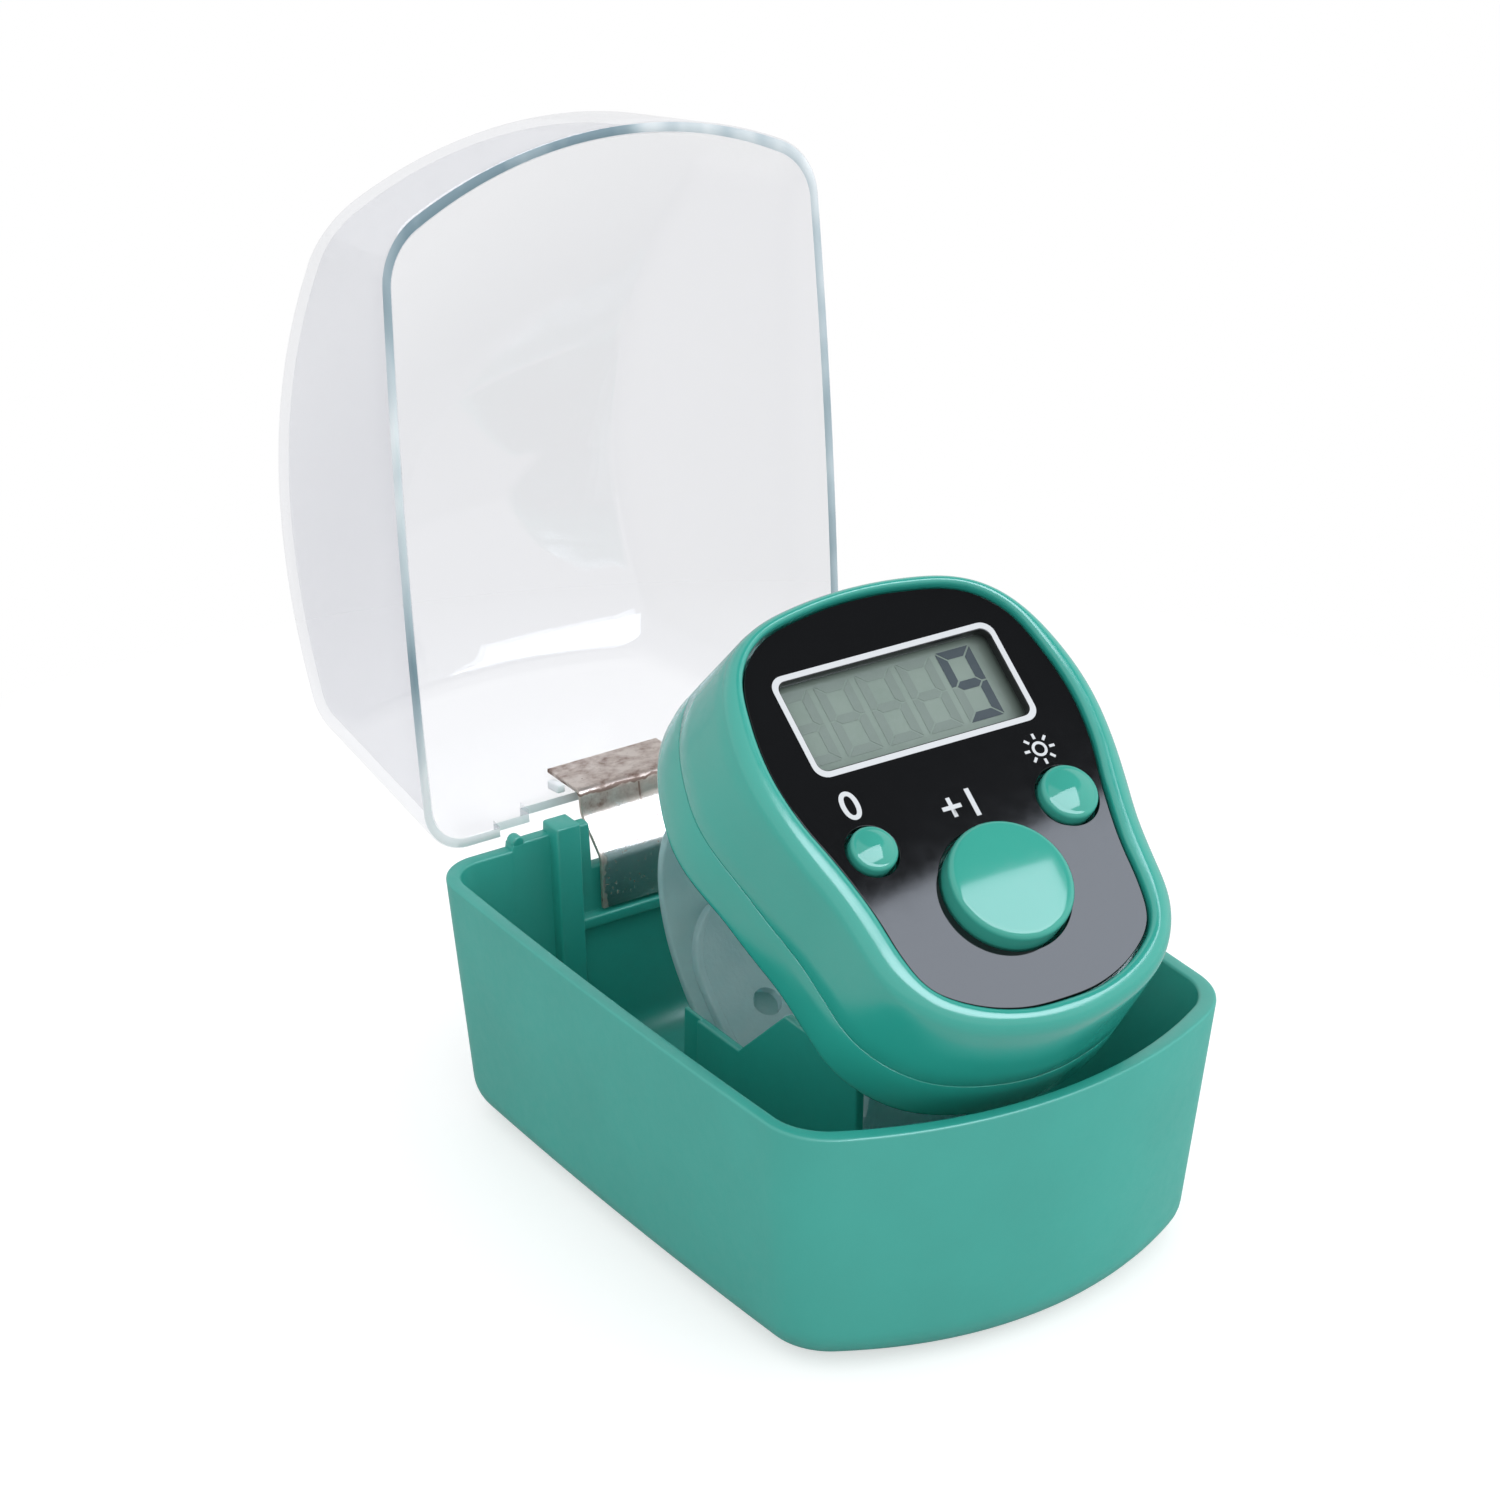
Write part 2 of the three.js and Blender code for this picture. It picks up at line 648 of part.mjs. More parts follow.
function backCuts(top, floorTop) {
  const stepTop = counter.back + door.step;
  const wellCuts = [-1, 1].map((side) =>
    rod(side * cell.x, cell.y, cell.radius + cell.wellGap, stepTop - 1, top + 3, 20));
  const linkSlot = block(
    -cell.x, cell.x, cell.y - 2, cell.y + 2, stepTop - 1, floorTop + cell.wellHeight + 1);
  const doorSeat = prism(roundRect(
    -door.halfWidth - door.sideGap, door.halfWidth + door.sideGap,
    door.bottomY - door.sideGap, door.topY + door.sideGap, door.radius), counter.back - 1, stepTop);
  const screwCuts = screwPlaces.flatMap(([x, y]) => [
    rod(x, y, screw.headRadius + gap, counter.back - 1, counter.back + screw.recess + gap),
    rod(x, y, boreRadius, counter.back - 1, top + 1),
  ]);
  const doorBore = rod(0, doorScrewY, boreRadius, counter.back - 1, floorTop + 2.4, 20);
  const slots = strapSlots(floorTop);
  return [...wellCuts, linkSlot, doorSeat, ...screwCuts, doorBore, ...slots];
}

// Slots in the back shell's floor that the strap's two ends pass through
function strapSlots(floorTop) {
  const reach = strap.thickness / 2 + strap.borderRise + gap + strap.slant;
  const ends = [[strapLoop[0][0], strap.bandHalfWidth], [tongueRootY(), strap.tongueHalfWidth]];
  return ends.map(([y, half]) =>
    block(-half - gap, half + gap, y - reach, y + reach, counter.back - 1, floorTop + 1));
}

function makePanel() {
  const plate = prism(closedOutline(panelHalf), -panel.thickness, 0);
  const view = prism(roundRect(
    -lcd.windowWidth / 2, lcd.windowWidth / 2, lcd.y - lcd.windowHeight / 2, lcd.y + lcd.windowHeight / 2,
    lcd.windowRadius), -2, 1);
  const holes = Object.values(buttons).map(({ x, y, radius }) => rod(x, y, radius + buttonGap, -2, 1, 24));
  return cut(plate, view, ...holes);
}

// Inside of the counter

function makeButton({ x, y, radius, top, crown, edge, flange }) {
  const plateBottom = -panel.thickness - gap - panel.plate;
  const flangeTop = plateBottom - gap;
  const flangeBottom = flangeTop - flangeThickness;
  const round = quarterRound(edge, 3).map(([inset, rise]) => [radius - inset, top - crown - edge + rise]);
  return turned([
    [0, flangeBottom - 0.15], [1.2, flangeBottom - 0.15], [1.3, flangeBottom],
    [radius + flange, flangeBottom], [radius + flange, flangeTop], [radius, flangeTop],
    ...round, [(radius - edge) / 2, top - crown * 0.25], [0, top],
  ], x, y);
}

function makeKeypad() {
  const bottom = board.top + gap;
  const outline = roundRect(-keypad.halfWidth, keypad.halfWidth, keypad.bottomY, keypad.topY, 1);
  const sheet = prism(outline, bottom, bottom + keypad.thickness);
  const domes = Object.values(buttons).map(({ x, y }) => turned([
    [0, bottom], [keypad.domeRadius + 0.5, bottom], [keypad.domeRadius + 0.5, bottom + keypad.thickness],
    [keypad.domeRadius, keypad.domeTop], [0, keypad.domeTop]], x, y));
  return join(sheet, ...domes);
}

function makeBoard() {
  const plate = bodyPrism(board.inset, board.top - board.thickness, board.top);
  const holes = screwPlaces.map(([x, y]) => rod(x, y, bossRadius + gap, board.top - 2, board.top + 1));
  return cut(plate, ...holes);
}

function makeBlob(top) {
  return turned([
    [0, top - blob.height], [blob.radius * 0.6, top - blob.height * 0.8], [blob.radius, top - 0.1],
    [blob.radius, top], [0, top]], 0, blob.y);
}

function makeDoor() {
  const plate = prism(roundRect(-door.halfWidth, door.halfWidth, door.bottomY, door.topY, door.radius),
    counter.back, counter.back + door.thickness);
  return cut(plate, rod(0, doorScrewY, boreRadius, counter.back - 1, counter.back + 2));
}

function makeLinkPlate() {
  const bottom = counter.back + door.thickness + gap;
  const top = bottom + contact.metal;
  const discs = [-1, 1].map((side) => rod(side * cell.x, cell.y, contact.discRadius, bottom, top, 24));
  return join(block(-cell.x, cell.x, cell.y - 1.5, cell.y + 1.5, bottom, top), ...discs);
}

// A bent strip from the board's underside down to the top of a cell
function makeContact(side) {
  const padTop = board.top - board.thickness - gap;
  const cellTop = cellBottom() + cell.height + gap;
  const inner = 1.2;
  const outline = [
    [inner, padTop], [inner, padTop - contact.metal], [inner + 1.5, padTop - contact.metal],
    [inner + 2.3, cellTop], [inner + 2.3 + contact.reach, cellTop],
    [inner + 2.3 + contact.reach, cellTop + contact.metal], [inner + 2.6, cellTop + contact.metal],
    [inner + 1.8, padTop],
  ];
  const shape = new THREE.Shape(outline.map(([x, z]) => new THREE.Vector2(x, z)));
  const geometry = new THREE.ExtrudeGeometry(shape, { depth: contact.width, bevelEnabled: false });
  geometry.rotateX(Math.PI / 2);
  geometry.translate(0, cell.y + contact.width / 2, 0);
  const strip = toSolid(geometry);
  return side < 0 ? strip.mirror([1, 0, 0]) : strip;
}

function cellBottom() {
  return counter.back + door.thickness + gap + contact.metal + gap;
}

function makeCell(side) {
  const bottom = cellBottom();
  const top = bottom + cell.height;
  return turned([
    [0, bottom], [cell.radius - 0.3, bottom], [cell.radius, bottom + 0.3], [cell.radius, top - 0.6],
    [cell.radius - 0.7, top - 0.35], [cell.radius - 1, top], [0, top]], side * cell.x, cell.y);
}

function makeScrew(x, y, headBottom, length) {
  const head = headBottom + screw.headHeight;
  const body = turned([
    [0, headBottom], [screw.headRadius - 0.3, headBottom], [screw.headRadius, headBottom + 0.25],
    [screw.headRadius, head], [screw.shankRadius, head], [screw.shankRadius, head + length - 0.8],
    [0.2, head + length], [0, head + length]], x, y, 14);
  const wide = screw.headRadius * 0.62;
  const cross = join(
    block(x - wide, x + wide, y - screw.slot / 2, y + screw.slot / 2, headBottom - 1, headBottom + 0.4),
    block(x - screw.slot / 2, x + screw.slot / 2, y - wide, y + wide, headBottom - 1, headBottom + 0.4));
  return cut(body, cross);
}

// Strap

function loopCurve() {
  return new THREE.SplineCurve(strapLoop.map(([y, z]) => new THREE.Vector2(y, z)));
}

function tongueOffset() {
  return strap.thickness + gap;
}

function tongueRootY() {
  return strapLoop.at(-1)[0] + tongueOffset();
}

// Half-width of a strap end that finishes in a round at the share tip; stretch lengthens the round
function roundedEnd(half, tip, length, stretch = 1) {
  return (share) => {
    const left = Math.min(Math.abs(share - tip) * length / (half * stretch), 1);
    return half * Math.max(Math.sqrt(1 - (1 - left) ** 2), 0.12);
  };
}

function strapHead(y, half) {
  const bottom = counter.back + counter.backFloor + gap;
  const wide = half + strap.headSpread;
  const deep = strap.headDepth / 2;
  return block(-wide, wide, y - deep, y + deep, bottom, bottom + strap.headThickness);
}

// A short rod square to the strap, between two depths from the loop's line
function acrossLoop(curve, share, radius, from, to) {
  const point = curve.getPointAt(share);
  const tangent = curve.getTangentAt(share);
  const side = new THREE.Vector3(0, -tangent.y, tangent.x);
  const geometry = new THREE.CylinderGeometry(radius, radius, to - from, 20);
  geometry.translate(0, (from + to) / 2, 0);
  geometry.applyQuaternion(new THREE.Quaternion().setFromUnitVectors(new THREE.Vector3(0, 1, 0), side));
  geometry.translate(0, point.x, point.y);
  return toSolid(geometry);
}

// The loop hangs straight down in the box although the counter is turned
function swayed(solid) {
  const slotZ = counter.back;
  return solid.transform([1, 0, 0, 0, 0, 1, 0, 0, strap.sway, 0, 1, 0, -strap.sway * slotZ, 0, 0, 1]);
}

function holeShare(curve, number) {
  return strap.tongueTip + (strap.firstHole + strap.holePitch * number) / curve.getLength();
}

function makeBand() {
  const curve = loopCurve();
  const band = ribbon(curve, {
    to: strap.bandLength, steps: 34, thickness: strap.thickness,
    halfWidth: roundedEnd(strap.bandHalfWidth, strap.bandLength, curve.getLength()),
  });
  const studTip = -tongueOffset() - strap.thickness / 2 - gap;
  const stud = acrossLoop(curve, holeShare(curve, strap.studHole), strap.studRadius, studTip, 0);
  return swayed(join(band, strapHead(strapLoop[0][0], strap.bandHalfWidth), stud));
}

function makeTongue() {
  const curve = loopCurve();
  const tongue = ribbon(curve, {
    from: strap.tongueTip, steps: 28, thickness: strap.thickness, offset: -tongueOffset(),
    halfWidth: roundedEnd(strap.tongueHalfWidth, strap.tongueTip, curve.getLength(), strap.tipStretch),
    border: strap.border, rise: strap.borderRise,
  });
  const holes = Array.from({ length: strap.holes }, (_, i) =>
    acrossLoop(curve, holeShare(curve, i), strap.holeRadius, -4, 0));
  return swayed(join(cut(tongue, ...holes), strapHead(tongueRootY(), strap.tongueHalfWidth)));
}

// Materials

const green = { color: 0x1f9d80, roughness: 0.22, metalness: 0 };
const materials = {
  caseGreen: { color: 0x4fa894, roughness: 0.45, metalness: 0 },
  clear: { color: 0xf4f5f8, roughness: 0.05, metalness: 0, transparent: true, opacity: 0.3 },
  shellGreen: green,
  steel: { color: 0xb9b2a8, roughness: 0.35, metalness: 1 },
  black: { color: 0x0c0c0f, roughness: 0.12, metalness: 0 },
  display: { color: 0x98a595, roughness: 0.1, metalness: 0 },
  rubber: { color: 0xc9cdc8, roughness: 0.8, metalness: 0 },
  pink: { color: 0xc99a9a, roughness: 0.8, metalness: 0 },
  circuit: { color: 0x2f6b3c, roughness: 0.5, metalness: 0 },
  epoxy: { color: 0x15151a, roughness: 0.35, metalness: 0 },
  nickel: { color: 0xc9c9c5, roughness: 0.25, metalness: 1 },
  lamp: { color: 0xf2f0e4, roughness: 0.2, metalness: 0 },
  strap: { color: 0xdfe6e6, roughness: 0.5, metalness: 0, transparent: true, opacity: 0.6 },
};

function named(name, solid, material) {
  const mesh = new THREE.Mesh(toGeometry(solid), new THREE.MeshStandardMaterial(materials[material]));
  mesh.name = name;
  return mesh;
}

// Assembly

const model = new THREE.Group();
model.add(named('case_tray', makeTray(), 'caseGreen'));
model.add(named('hinge_clip', makeClip(), 'steel'));

// The lid is drawn closed and stands open on its hinge
const lidPivot = new THREE.Group();
lidPivot.position.set(0, hingeY, hingeZ);
lidPivot.rotation.x = -THREE.MathUtils.degToRad(hinge.openAngle);
const lidMesh = named('case_lid', makeLid(), 'clear');
lidMesh.position.set(0, -hingeY, -hingeZ);
lidPivot.add(lidMesh);
model.add(lidPivot);

const counterGroup = new THREE.Group();
counterGroup.position.set(...counter.place);
counterGroup.rotation.set(
  THREE.MathUtils.degToRad(counter.lean), THREE.MathUtils.degToRad(counter.roll),
  THREE.MathUtils.degToRad(counter.twist), 'ZXY');
model.add(counterGroup);

const displayBottom = -panel.thickness - gap - lcd.thickness;
const boardBottom = board.top - board.thickness;
const screwHead = counter.back + screw.recess - screw.headHeight;
counterGroup.add(
  named('front_shell', makeFrontShell(), 'shellGreen'),
  named('back_shell', makeBackShell(), 'shellGreen'),
  named('face_panel', makePanel(), 'black'),
  named('lcd_glass', block(-lcd.width / 2, lcd.width / 2, lcd.y - lcd.height / 2, lcd.y + lcd.height / 2,
    displayBottom, -panel.thickness - gap), 'display'),
  named('zebra_connector', block(-zebra.width / 2, zebra.width / 2, lcd.y - lcd.height / 2 + gap,
    lcd.y - lcd.height / 2 + gap + zebra.depth, board.top + gap, displayBottom - gap), 'pink'),
  named('light_guide', block(-lightGuide.width / 2, lightGuide.width / 2, lightGuide.bottomY, lightGuide.topY,
    board.top + gap, displayBottom - gap), 'clear'),
  named('light_led', block(lamp.x - lamp.width / 2, lamp.x + lamp.width / 2, lamp.y - lamp.length / 2,
    lamp.y + lamp.length / 2, board.top + gap, board.top + gap + lamp.height), 'lamp'),
  named('circuit_board', makeBoard(), 'circuit'),
  named('chip_blob', makeBlob(boardBottom - gap), 'epoxy'),
  named('keypad_rubber', makeKeypad(), 'rubber'),
  named('count_button', makeButton(buttons.count), 'shellGreen'),
  named('reset_button', makeButton(buttons.reset), 'shellGreen'),
  named('light_button', makeButton(buttons.light), 'shellGreen'),
  named('battery_cell_left', makeCell(-1), 'nickel'),
  named('battery_cell_right', makeCell(1), 'nickel'),
  named('battery_contact_positive', makeContact(-1), 'nickel'),
  named('battery_contact_negative', makeContact(1), 'nickel'),
  named('battery_link_plate', makeLinkPlate(), 'nickel'),
  named('battery_door', makeDoor(), 'shellGreen'),
  named('battery_door_screw', makeScrew(0, doorScrewY, counter.back - screw.headHeight - gap, 2.4), 'steel'),
  named('strap_band', makeBand(), 'strap'),
  named('strap_tongue', makeTongue(), 'strap'),
);
screwPlaces.forEach(([x, y], i) => {
  counterGroup.add(named(`shell_screw_${i + 1}`, makeScrew(x, y, screwHead, screw.length), 'steel'));
});

export default model;
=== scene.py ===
"""Digital tally counter in its open box: fine surfaces, finishes, floor, light and camera."""
from math import atan2, cos, degrees, pi, radians, sin, sqrt

import bmesh
import bpy
import numpy as np
from mathutils import Matrix, Vector


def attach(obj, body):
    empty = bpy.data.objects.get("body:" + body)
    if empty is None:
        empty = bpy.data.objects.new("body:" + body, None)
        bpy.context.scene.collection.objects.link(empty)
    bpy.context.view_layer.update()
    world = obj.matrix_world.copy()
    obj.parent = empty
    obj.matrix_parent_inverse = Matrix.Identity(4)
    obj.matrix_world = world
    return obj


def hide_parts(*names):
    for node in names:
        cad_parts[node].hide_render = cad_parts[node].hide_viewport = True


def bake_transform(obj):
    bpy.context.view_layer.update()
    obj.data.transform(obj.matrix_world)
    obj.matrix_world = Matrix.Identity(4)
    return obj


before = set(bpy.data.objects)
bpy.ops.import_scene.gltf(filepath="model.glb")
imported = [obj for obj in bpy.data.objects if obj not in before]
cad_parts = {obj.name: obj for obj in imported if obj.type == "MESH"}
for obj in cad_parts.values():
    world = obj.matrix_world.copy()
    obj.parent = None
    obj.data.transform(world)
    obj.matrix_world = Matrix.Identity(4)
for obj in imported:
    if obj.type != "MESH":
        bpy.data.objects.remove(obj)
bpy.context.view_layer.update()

MM = 0.001


class Sizes(dict):
    """A table whose values are read by name."""
    __getattr__ = dict.__getitem__


# Sizes in millimetres, taken over from the solids of the part, but with a clip that is 0.35 wider a side

BOX = Sizes(half=20, back_y=24.56, front_y=-24.48, front_bow=5.5, side_bow=0.37, height=20.47, wall=1.15,
            floor=1.8, back_radius=3.9, front_radius=5.7, foot_radius=3.2, side_draft=1.63, back_draft=1.97,
            front_draft=1.19)
TAB_REACH, TAB_RISE, BUMP_RADIUS, NOTCH_FLOOR = 12.8, 0.5, 0.55, 17.2
POST_GAP, POST_WIDTH, POST_DEPTH, POST_RISE = 7.2, 2.2, 1.1, 1.35
LEDGE_TOP, LEDGE_THICKNESS = 13.5, 1.0
RIB = Sizes(gap=6.6, thickness=0.8, back_y=5.6, front_y=-15.2, low_y=0.0, peak_y=-5.9, low_top=12.1,
            high_top=17.9, toe=2.3, toe_thickness=0.4)
LID = Sizes(seam=0.3, wall=0.95, top=29.8, crest_y=4.7, dome_radius=29.8, crown=3.8, crown_reach=17,
            side_lean=0.142, back_lean=0.125, front_lean=0.075, edge_radius=1.5, notch_gap=0.35, clip_notch=2.6)
HINGE_Y, HINGE_Z, OPEN_ANGLE = 24.79, 20.95, 96.8
CLIP = Sizes(half=5.25, thickness=0.35, knee_back=0.35, knee_rise=0.9, slope_end=0.5, step_end=0.85,
             step_height=1.8, plate_end=5.5, bend=0.5)
PLACE, LEAN, TWIST, ROLL = (-0.06, -16.38, 38.65), 35.6, -2.2, -1.5
COUNTER = (Matrix.Translation(Vector(PLACE) * MM) @ Matrix.Rotation(radians(TWIST), 4, "Z")
           @ Matrix.Rotation(radians(LEAN), 4, "X") @ Matrix.Rotation(radians(ROLL), 4, "Y"))
LIP, LIP_INSET, EDGE_RADIUS, FLARE, FLARE_DEPTH, FLARE_TOP = 0.6, 0.4, 1.4, 1.0, 10.5, 8.0
PARTING, BACK, BACK_RADIUS, WALL, BACK_FLOOR, LAP_RISE, LAP_WALL = -7.8, -13.3, 1.4, 1.3, 1.5, 1.4, 0.8
PANEL_THICKNESS, PLATE, GAP = 0.8, 1.2, 0.3
LCD_Y, WINDOW, VIEW = 8.6, (9.125, 3.78, 0.7), (10.3, 4.9, 0.5)
BUTTONS = dict(
    count=Sizes(x=0, y=-7.7, radius=4.82, top=1.7, crown=0.12, edge=0.5, flange=1.1),
    reset=Sizes(x=-8.4, y=-2.1, radius=1.82, top=1.0, crown=0.35, edge=0.35, flange=0.8),
    light=Sizes(x=8.4, y=-2.2, radius=2.24, top=1.2, crown=0.4, edge=0.4, flange=0.8))
BUTTON_GAP, FLANGE_THICKNESS, PIP_RADIUS, PIP_DEPTH = 0.25, 0.6, 1.2, 0.15
CELL_X, CELL_Y, CELL_RADIUS, WELL_TOP = 6.1, 5.2, 5.8, -8
DOOR = Sizes(half=12.8, bottom=-5.1, top=12.2, step=0.9, radius=1.6, side_gap=0.25)
DOOR_SCREW_Y = -3
SCREWS = [(9.3, 14.5), (-9.3, 14.5), (8.6, -13.2), (-8.6, -13.2)]
SCREW_HEAD, SCREW_RECESS, SCREW_BORE = 1.3, 1.1, 1.1
STRAP = Sizes(band=5.5, tongue=4.7, thickness=0.8, border=0.6, border_rise=0.22, head=0.9, head_depth=1.7,
              spread=1, slant=0.45, sway=0.031, band_length=0.62, tip=0.335, tip_stretch=1.5, hole_radius=1.2,
              pitch=5, first_hole=10.2, holes=4, stud_hole=1, stud_radius=0.9)
STRAP_LOOP = [(15.5, -11), (16, -20), (16.5, -28.5), (14.9, -34), (10.2, -37.7), (3.4, -39.1),
              (-4.6, -38.6), (-10.6, -35.2), (-14.8, -30.2), (-14.3, -23.9), (-10.7, -17.2), (-8.5, -11)]
BODY_HALF = [(0, 18.8), (4.6, 18.5), (8.4, 17.7), (11.3, 16.1), (13.4, 13.4), (14.8, 9.4), (15.3, 5.2),
             (15, 1.4), (14.3, -2.2), (13.5, -5.6), (13.1, -9), (12.8, -11.6), (11.8, -14), (9.4, -16.7),
             (6, -18.4), (0, -19.4)]
PANEL_HALF = [(0, 17.3), (4.2, 17), (8.7, 15.9), (11.3, 13.5), (12.5, 9.6), (12.95, 5.4), (12.5, 1.4),
              (11.5, -2.2), (10.6, -6.6), (10.2, -10.6), (9.4, -13.3), (6.6, -15.5), (3.2, -16.7), (0, -16.9)]

# Sizes of what only the scene shows, and of the gap in the rim, which is narrower than in the solid

NOTCH_SHOWN = 5.7
RIM_SOFT, LID_SOFT, RIB_SOFT, PLATE_SOFT, SMALL_SOFT = 0.22, 0.12, 0.2, 0.06, 0.15
ROOT = 0.3  # how deep a rib or post is sunk into the wall or floor that carries it
HOOK = Sizes(gap=0.5, width=0.7, front=0.6, back=0.1, below=0.6, above=1.0)
SEAM_SHOWN, SEAM_ROUND = 0.1, [(0.08, 0), (0.02, 0.03), (0, 0.1)]
LIP_CREST, LIP_FALL = 0.7, 0.45
PRINT, PRINT_SOFT = (0.005, 0.035), 0.004
FRAME_OUTER, FRAME_INNER = (9.64, 4.33, 1.1), (9.2, 3.87, 0.8)
MARKS, MARK_SIZE, MARK_WEIGHT = [("0", -8.3, 1.6), ("+1", 0, -0.75)], 3.266, 0.035
LAMP = Sizes(x=8.2, y=1.9, outer=0.62, inner=0.4, rays=8, ray_half=0.11, ray_start=0.85, ray_end=1.3)
DIGIT = Sizes(width=3.0, height=6.1, bar=0.74, split=0.1)
DIGIT_PLACES, DIGIT_X, DIGIT_PITCH, DIGIT_RISE = 5, -7.9, 3.53, 0.25
SHOWN_BARS, SHOWN_TOP, GHOST_TOP, BAR_THICKNESS = "abcdfg", -1.07, -1.075, 0.012

# Where finishes change, and where a highlight is painted near the lid's hinge and shade on the display, in
# metres of the object's own space

HINGE_HIGHLIGHT_SPAN, SHADE_RIGHT, SHADE_TOP = (0.022, 0.034), (0.0076, 0.0092), (0.0031, 0.0039)
STAIN_FOOT, STAIN_LEFT, STEP_TOP = (0.0209, 0.0216), (-0.0059, -0.0055), (0.0222, 0.0224)
BEND_LINE, STEP_LINE = (0.0228, 0.00022), (0.0003, 0.00018)  # middle and reach of two rusty lines

# Light: even from all round, a disc of dark ceiling and a soft box in the gloss, and a lamp from the right

SKY_LEVEL, SKY_SLOPE, SKY_COLOUR = 1.0, (-0.1, -0.38, 0.1), (0.98, 0.99, 1.0, 1)
DARK_AT, DARK_LEVEL, DARK_EDGE = (0.4, 0.05, 0.9), 0.1, (28, 23)
SOFTBOX = Sizes(location=(0.065, -0.356, 0.45), size=(0.5, 0.4), energy=3.9, colour=(0.81, 0.88, 1.0))
SOFTBOX_TURN = 6
FILL, FILL_AIM = Sizes(location=(0.95, -0.2, 0.25), size=(0.5, 0.5), energy=3.6, colour=(1, 1, 1)), (0, 0, 0.02)
FLOOR_GREY, FLOOR_GLOW, FLOOR_SEEN_GLOW, FLOOR_FADE = 0.54, 0.04, 0.565, (0.055, 0.11)
CAMERA = Sizes(azimuth=-35.32, elevation=26.29, roll=1.20, target=(-6.83, 0, 37.48), distance=344.04)
FOCAL_PIXELS, PHOTO_PIXELS, SENSOR = 4662, 1500, 36

# Places along the back wall: where its rim changes height, and a few between them

LID_NOTCH = POST_GAP + POST_WIDTH + LID.notch_gap
TAB_NOTCH = TAB_REACH + LID.notch_gap
RIM_STEP, BACK_ZONE = 0.04, 20
BACK_STOPS = sorted([14.5, 11.2, 8.4, POST_GAP, 3.6, 1.8] + [
    stop + step for stop in (TAB_NOTCH, TAB_REACH, LID_NOTCH, NOTCH_SHOWN) for step in (-RIM_STEP, RIM_STEP)],
    reverse=True)


# Meshes

def add_object(name, data):
    made = bpy.data.objects.new(name, data)
    bpy.context.scene.collection.objects.link(made)
    return made


def finish_mesh(piece, sharp=35):
    """Smooth shading with hard edges only where faces meet at more than the given angle."""
    piece.data.shade_smooth()
    piece.data.set_sharp_from_angle(angle=radians(sharp))
    return piece


def loft(name, rings, sharp=35, poles=None):
    """A closed skin over rings of equal count, in millimetres, with flat ends or ends that run to two poles."""
    count, last = len(rings[0]), (len(rings) - 1) * len(rings[0])
    points = [p for ring in rings for p in ring] + (poles or [])
    around = [(i, (i + 1) % count) for i in range(count)]
    faces = [(r + i, r + j, r + j + count, r + i + count) for r in range(0, last, count) for i, j in around]
    if poles:
        faces += [(len(points) - 2, j, i) for i, j in around]
        faces += [(len(points) - 1, last + i, last + j) for i, j in around]
    else:
        faces += [tuple(range(count))[::-1], tuple(range(last, last + count))]
    mesh = bpy.data.meshes.new(name)
    mesh.from_pydata([Vector(p) * MM for p in points], [], faces)
    mesh.validate()
    work = bmesh.new()
    work.from_mesh(mesh)
    bmesh.ops.recalc_face_normals(work, faces=work.faces)
    work.to_mesh(mesh)
    work.free()
    return finish_mesh(add_object(name, mesh), sharp)


def merge(name, pieces, sharp=35):
    """Joins several meshes into one object without cutting them."""
    work = bmesh.new()
    for piece in pieces:
        work.from_mesh(piece.data)
        bpy.data.objects.remove(piece)
    mesh = bpy.data.meshes.new(name)
    work.to_mesh(mesh)
    work.free()
    return finish_mesh(add_object(name, mesh), sharp)


def evaluated_mesh(piece):
    """What the piece's modifiers or its curve's settings make of it."""
    graph = bpy.context.evaluated_depsgraph_get()
    return bpy.data.meshes.new_from_object(piece.evaluated_get(graph))


def apply_modifiers(piece, sharp=35):
    piece.data = evaluated_mesh(piece)
    piece.modifiers.clear()
    return finish_mesh(piece, sharp)


def cut(piece, *tools, sharp=35):
    """Cuts the tools out of a closed piece and deletes them."""
    for tool in tools:
        step = piece.modifiers.new("cut", "BOOLEAN")
        step.operation = "DIFFERENCE"
        step.solver = "EXACT"
        step.object = tool
    apply_modifiers(piece, sharp)
    for tool in tools:
        bpy.data.objects.remove(tool)
    return piece


def rounded(piece, radius, segments=2):
    """Rounds the hard edges of a piece by a radius in millimetres."""
    step = piece.modifiers.new("round", "BEVEL")
    step.width = radius * MM
    step.segments = segments
    step.limit_method = "ANGLE"
    step.angle_limit = radians(40)
    return apply_modifiers(piece)


def curve_piece(name, curve, x, y, z):
    """A mesh piece made of a curve and moved to a place in millimetres."""
    holder = add_object(name, curve)
    mesh = evaluated_mesh(holder)
    bpy.data.objects.remove(holder)
    mesh.transform(Matrix.Translation(Vector((x, y, z)) * MM))
    return add_object(name, mesh)


def level(ring, z):
    return [(x, y, z) for x, y in ring]


def prism(name, outline, bottom, top):
    return loft(name, [level(outline, bottom), level(outline, top)])


def box(name, x0, x1, y0, y1, z0, z1):
    return prism(name, [(x0, y0), (x1, y0), (x1, y1), (x0, y1)], z0, z1)


def rod(name, x, y, radius, bottom, top, sides=64):
    return prism(name, circle(x, y, radius, sides), bottom, top)


def turned(name, profile, x, y):
    """A turned piece from (radius, height) points, which start and end on the axis."""
    rings = [level(circle(x, y, r, 96), z) for r, z in profile[1:-1]]
    return loft(name, rings, poles=[(x, y, profile[i][1]) for i in (0, -1)])


# Outlines

def arc(cx, cy, radius, start, end, steps):
    angles = np.radians(np.linspace(start, end, steps + 1))
    return [(cx + radius * cos(a), cy + radius * sin(a)) for a in angles]


def circle(x, y, radius, sides):
    return arc(x, y, radius, 0, 360 - 360 / sides, sides - 1)


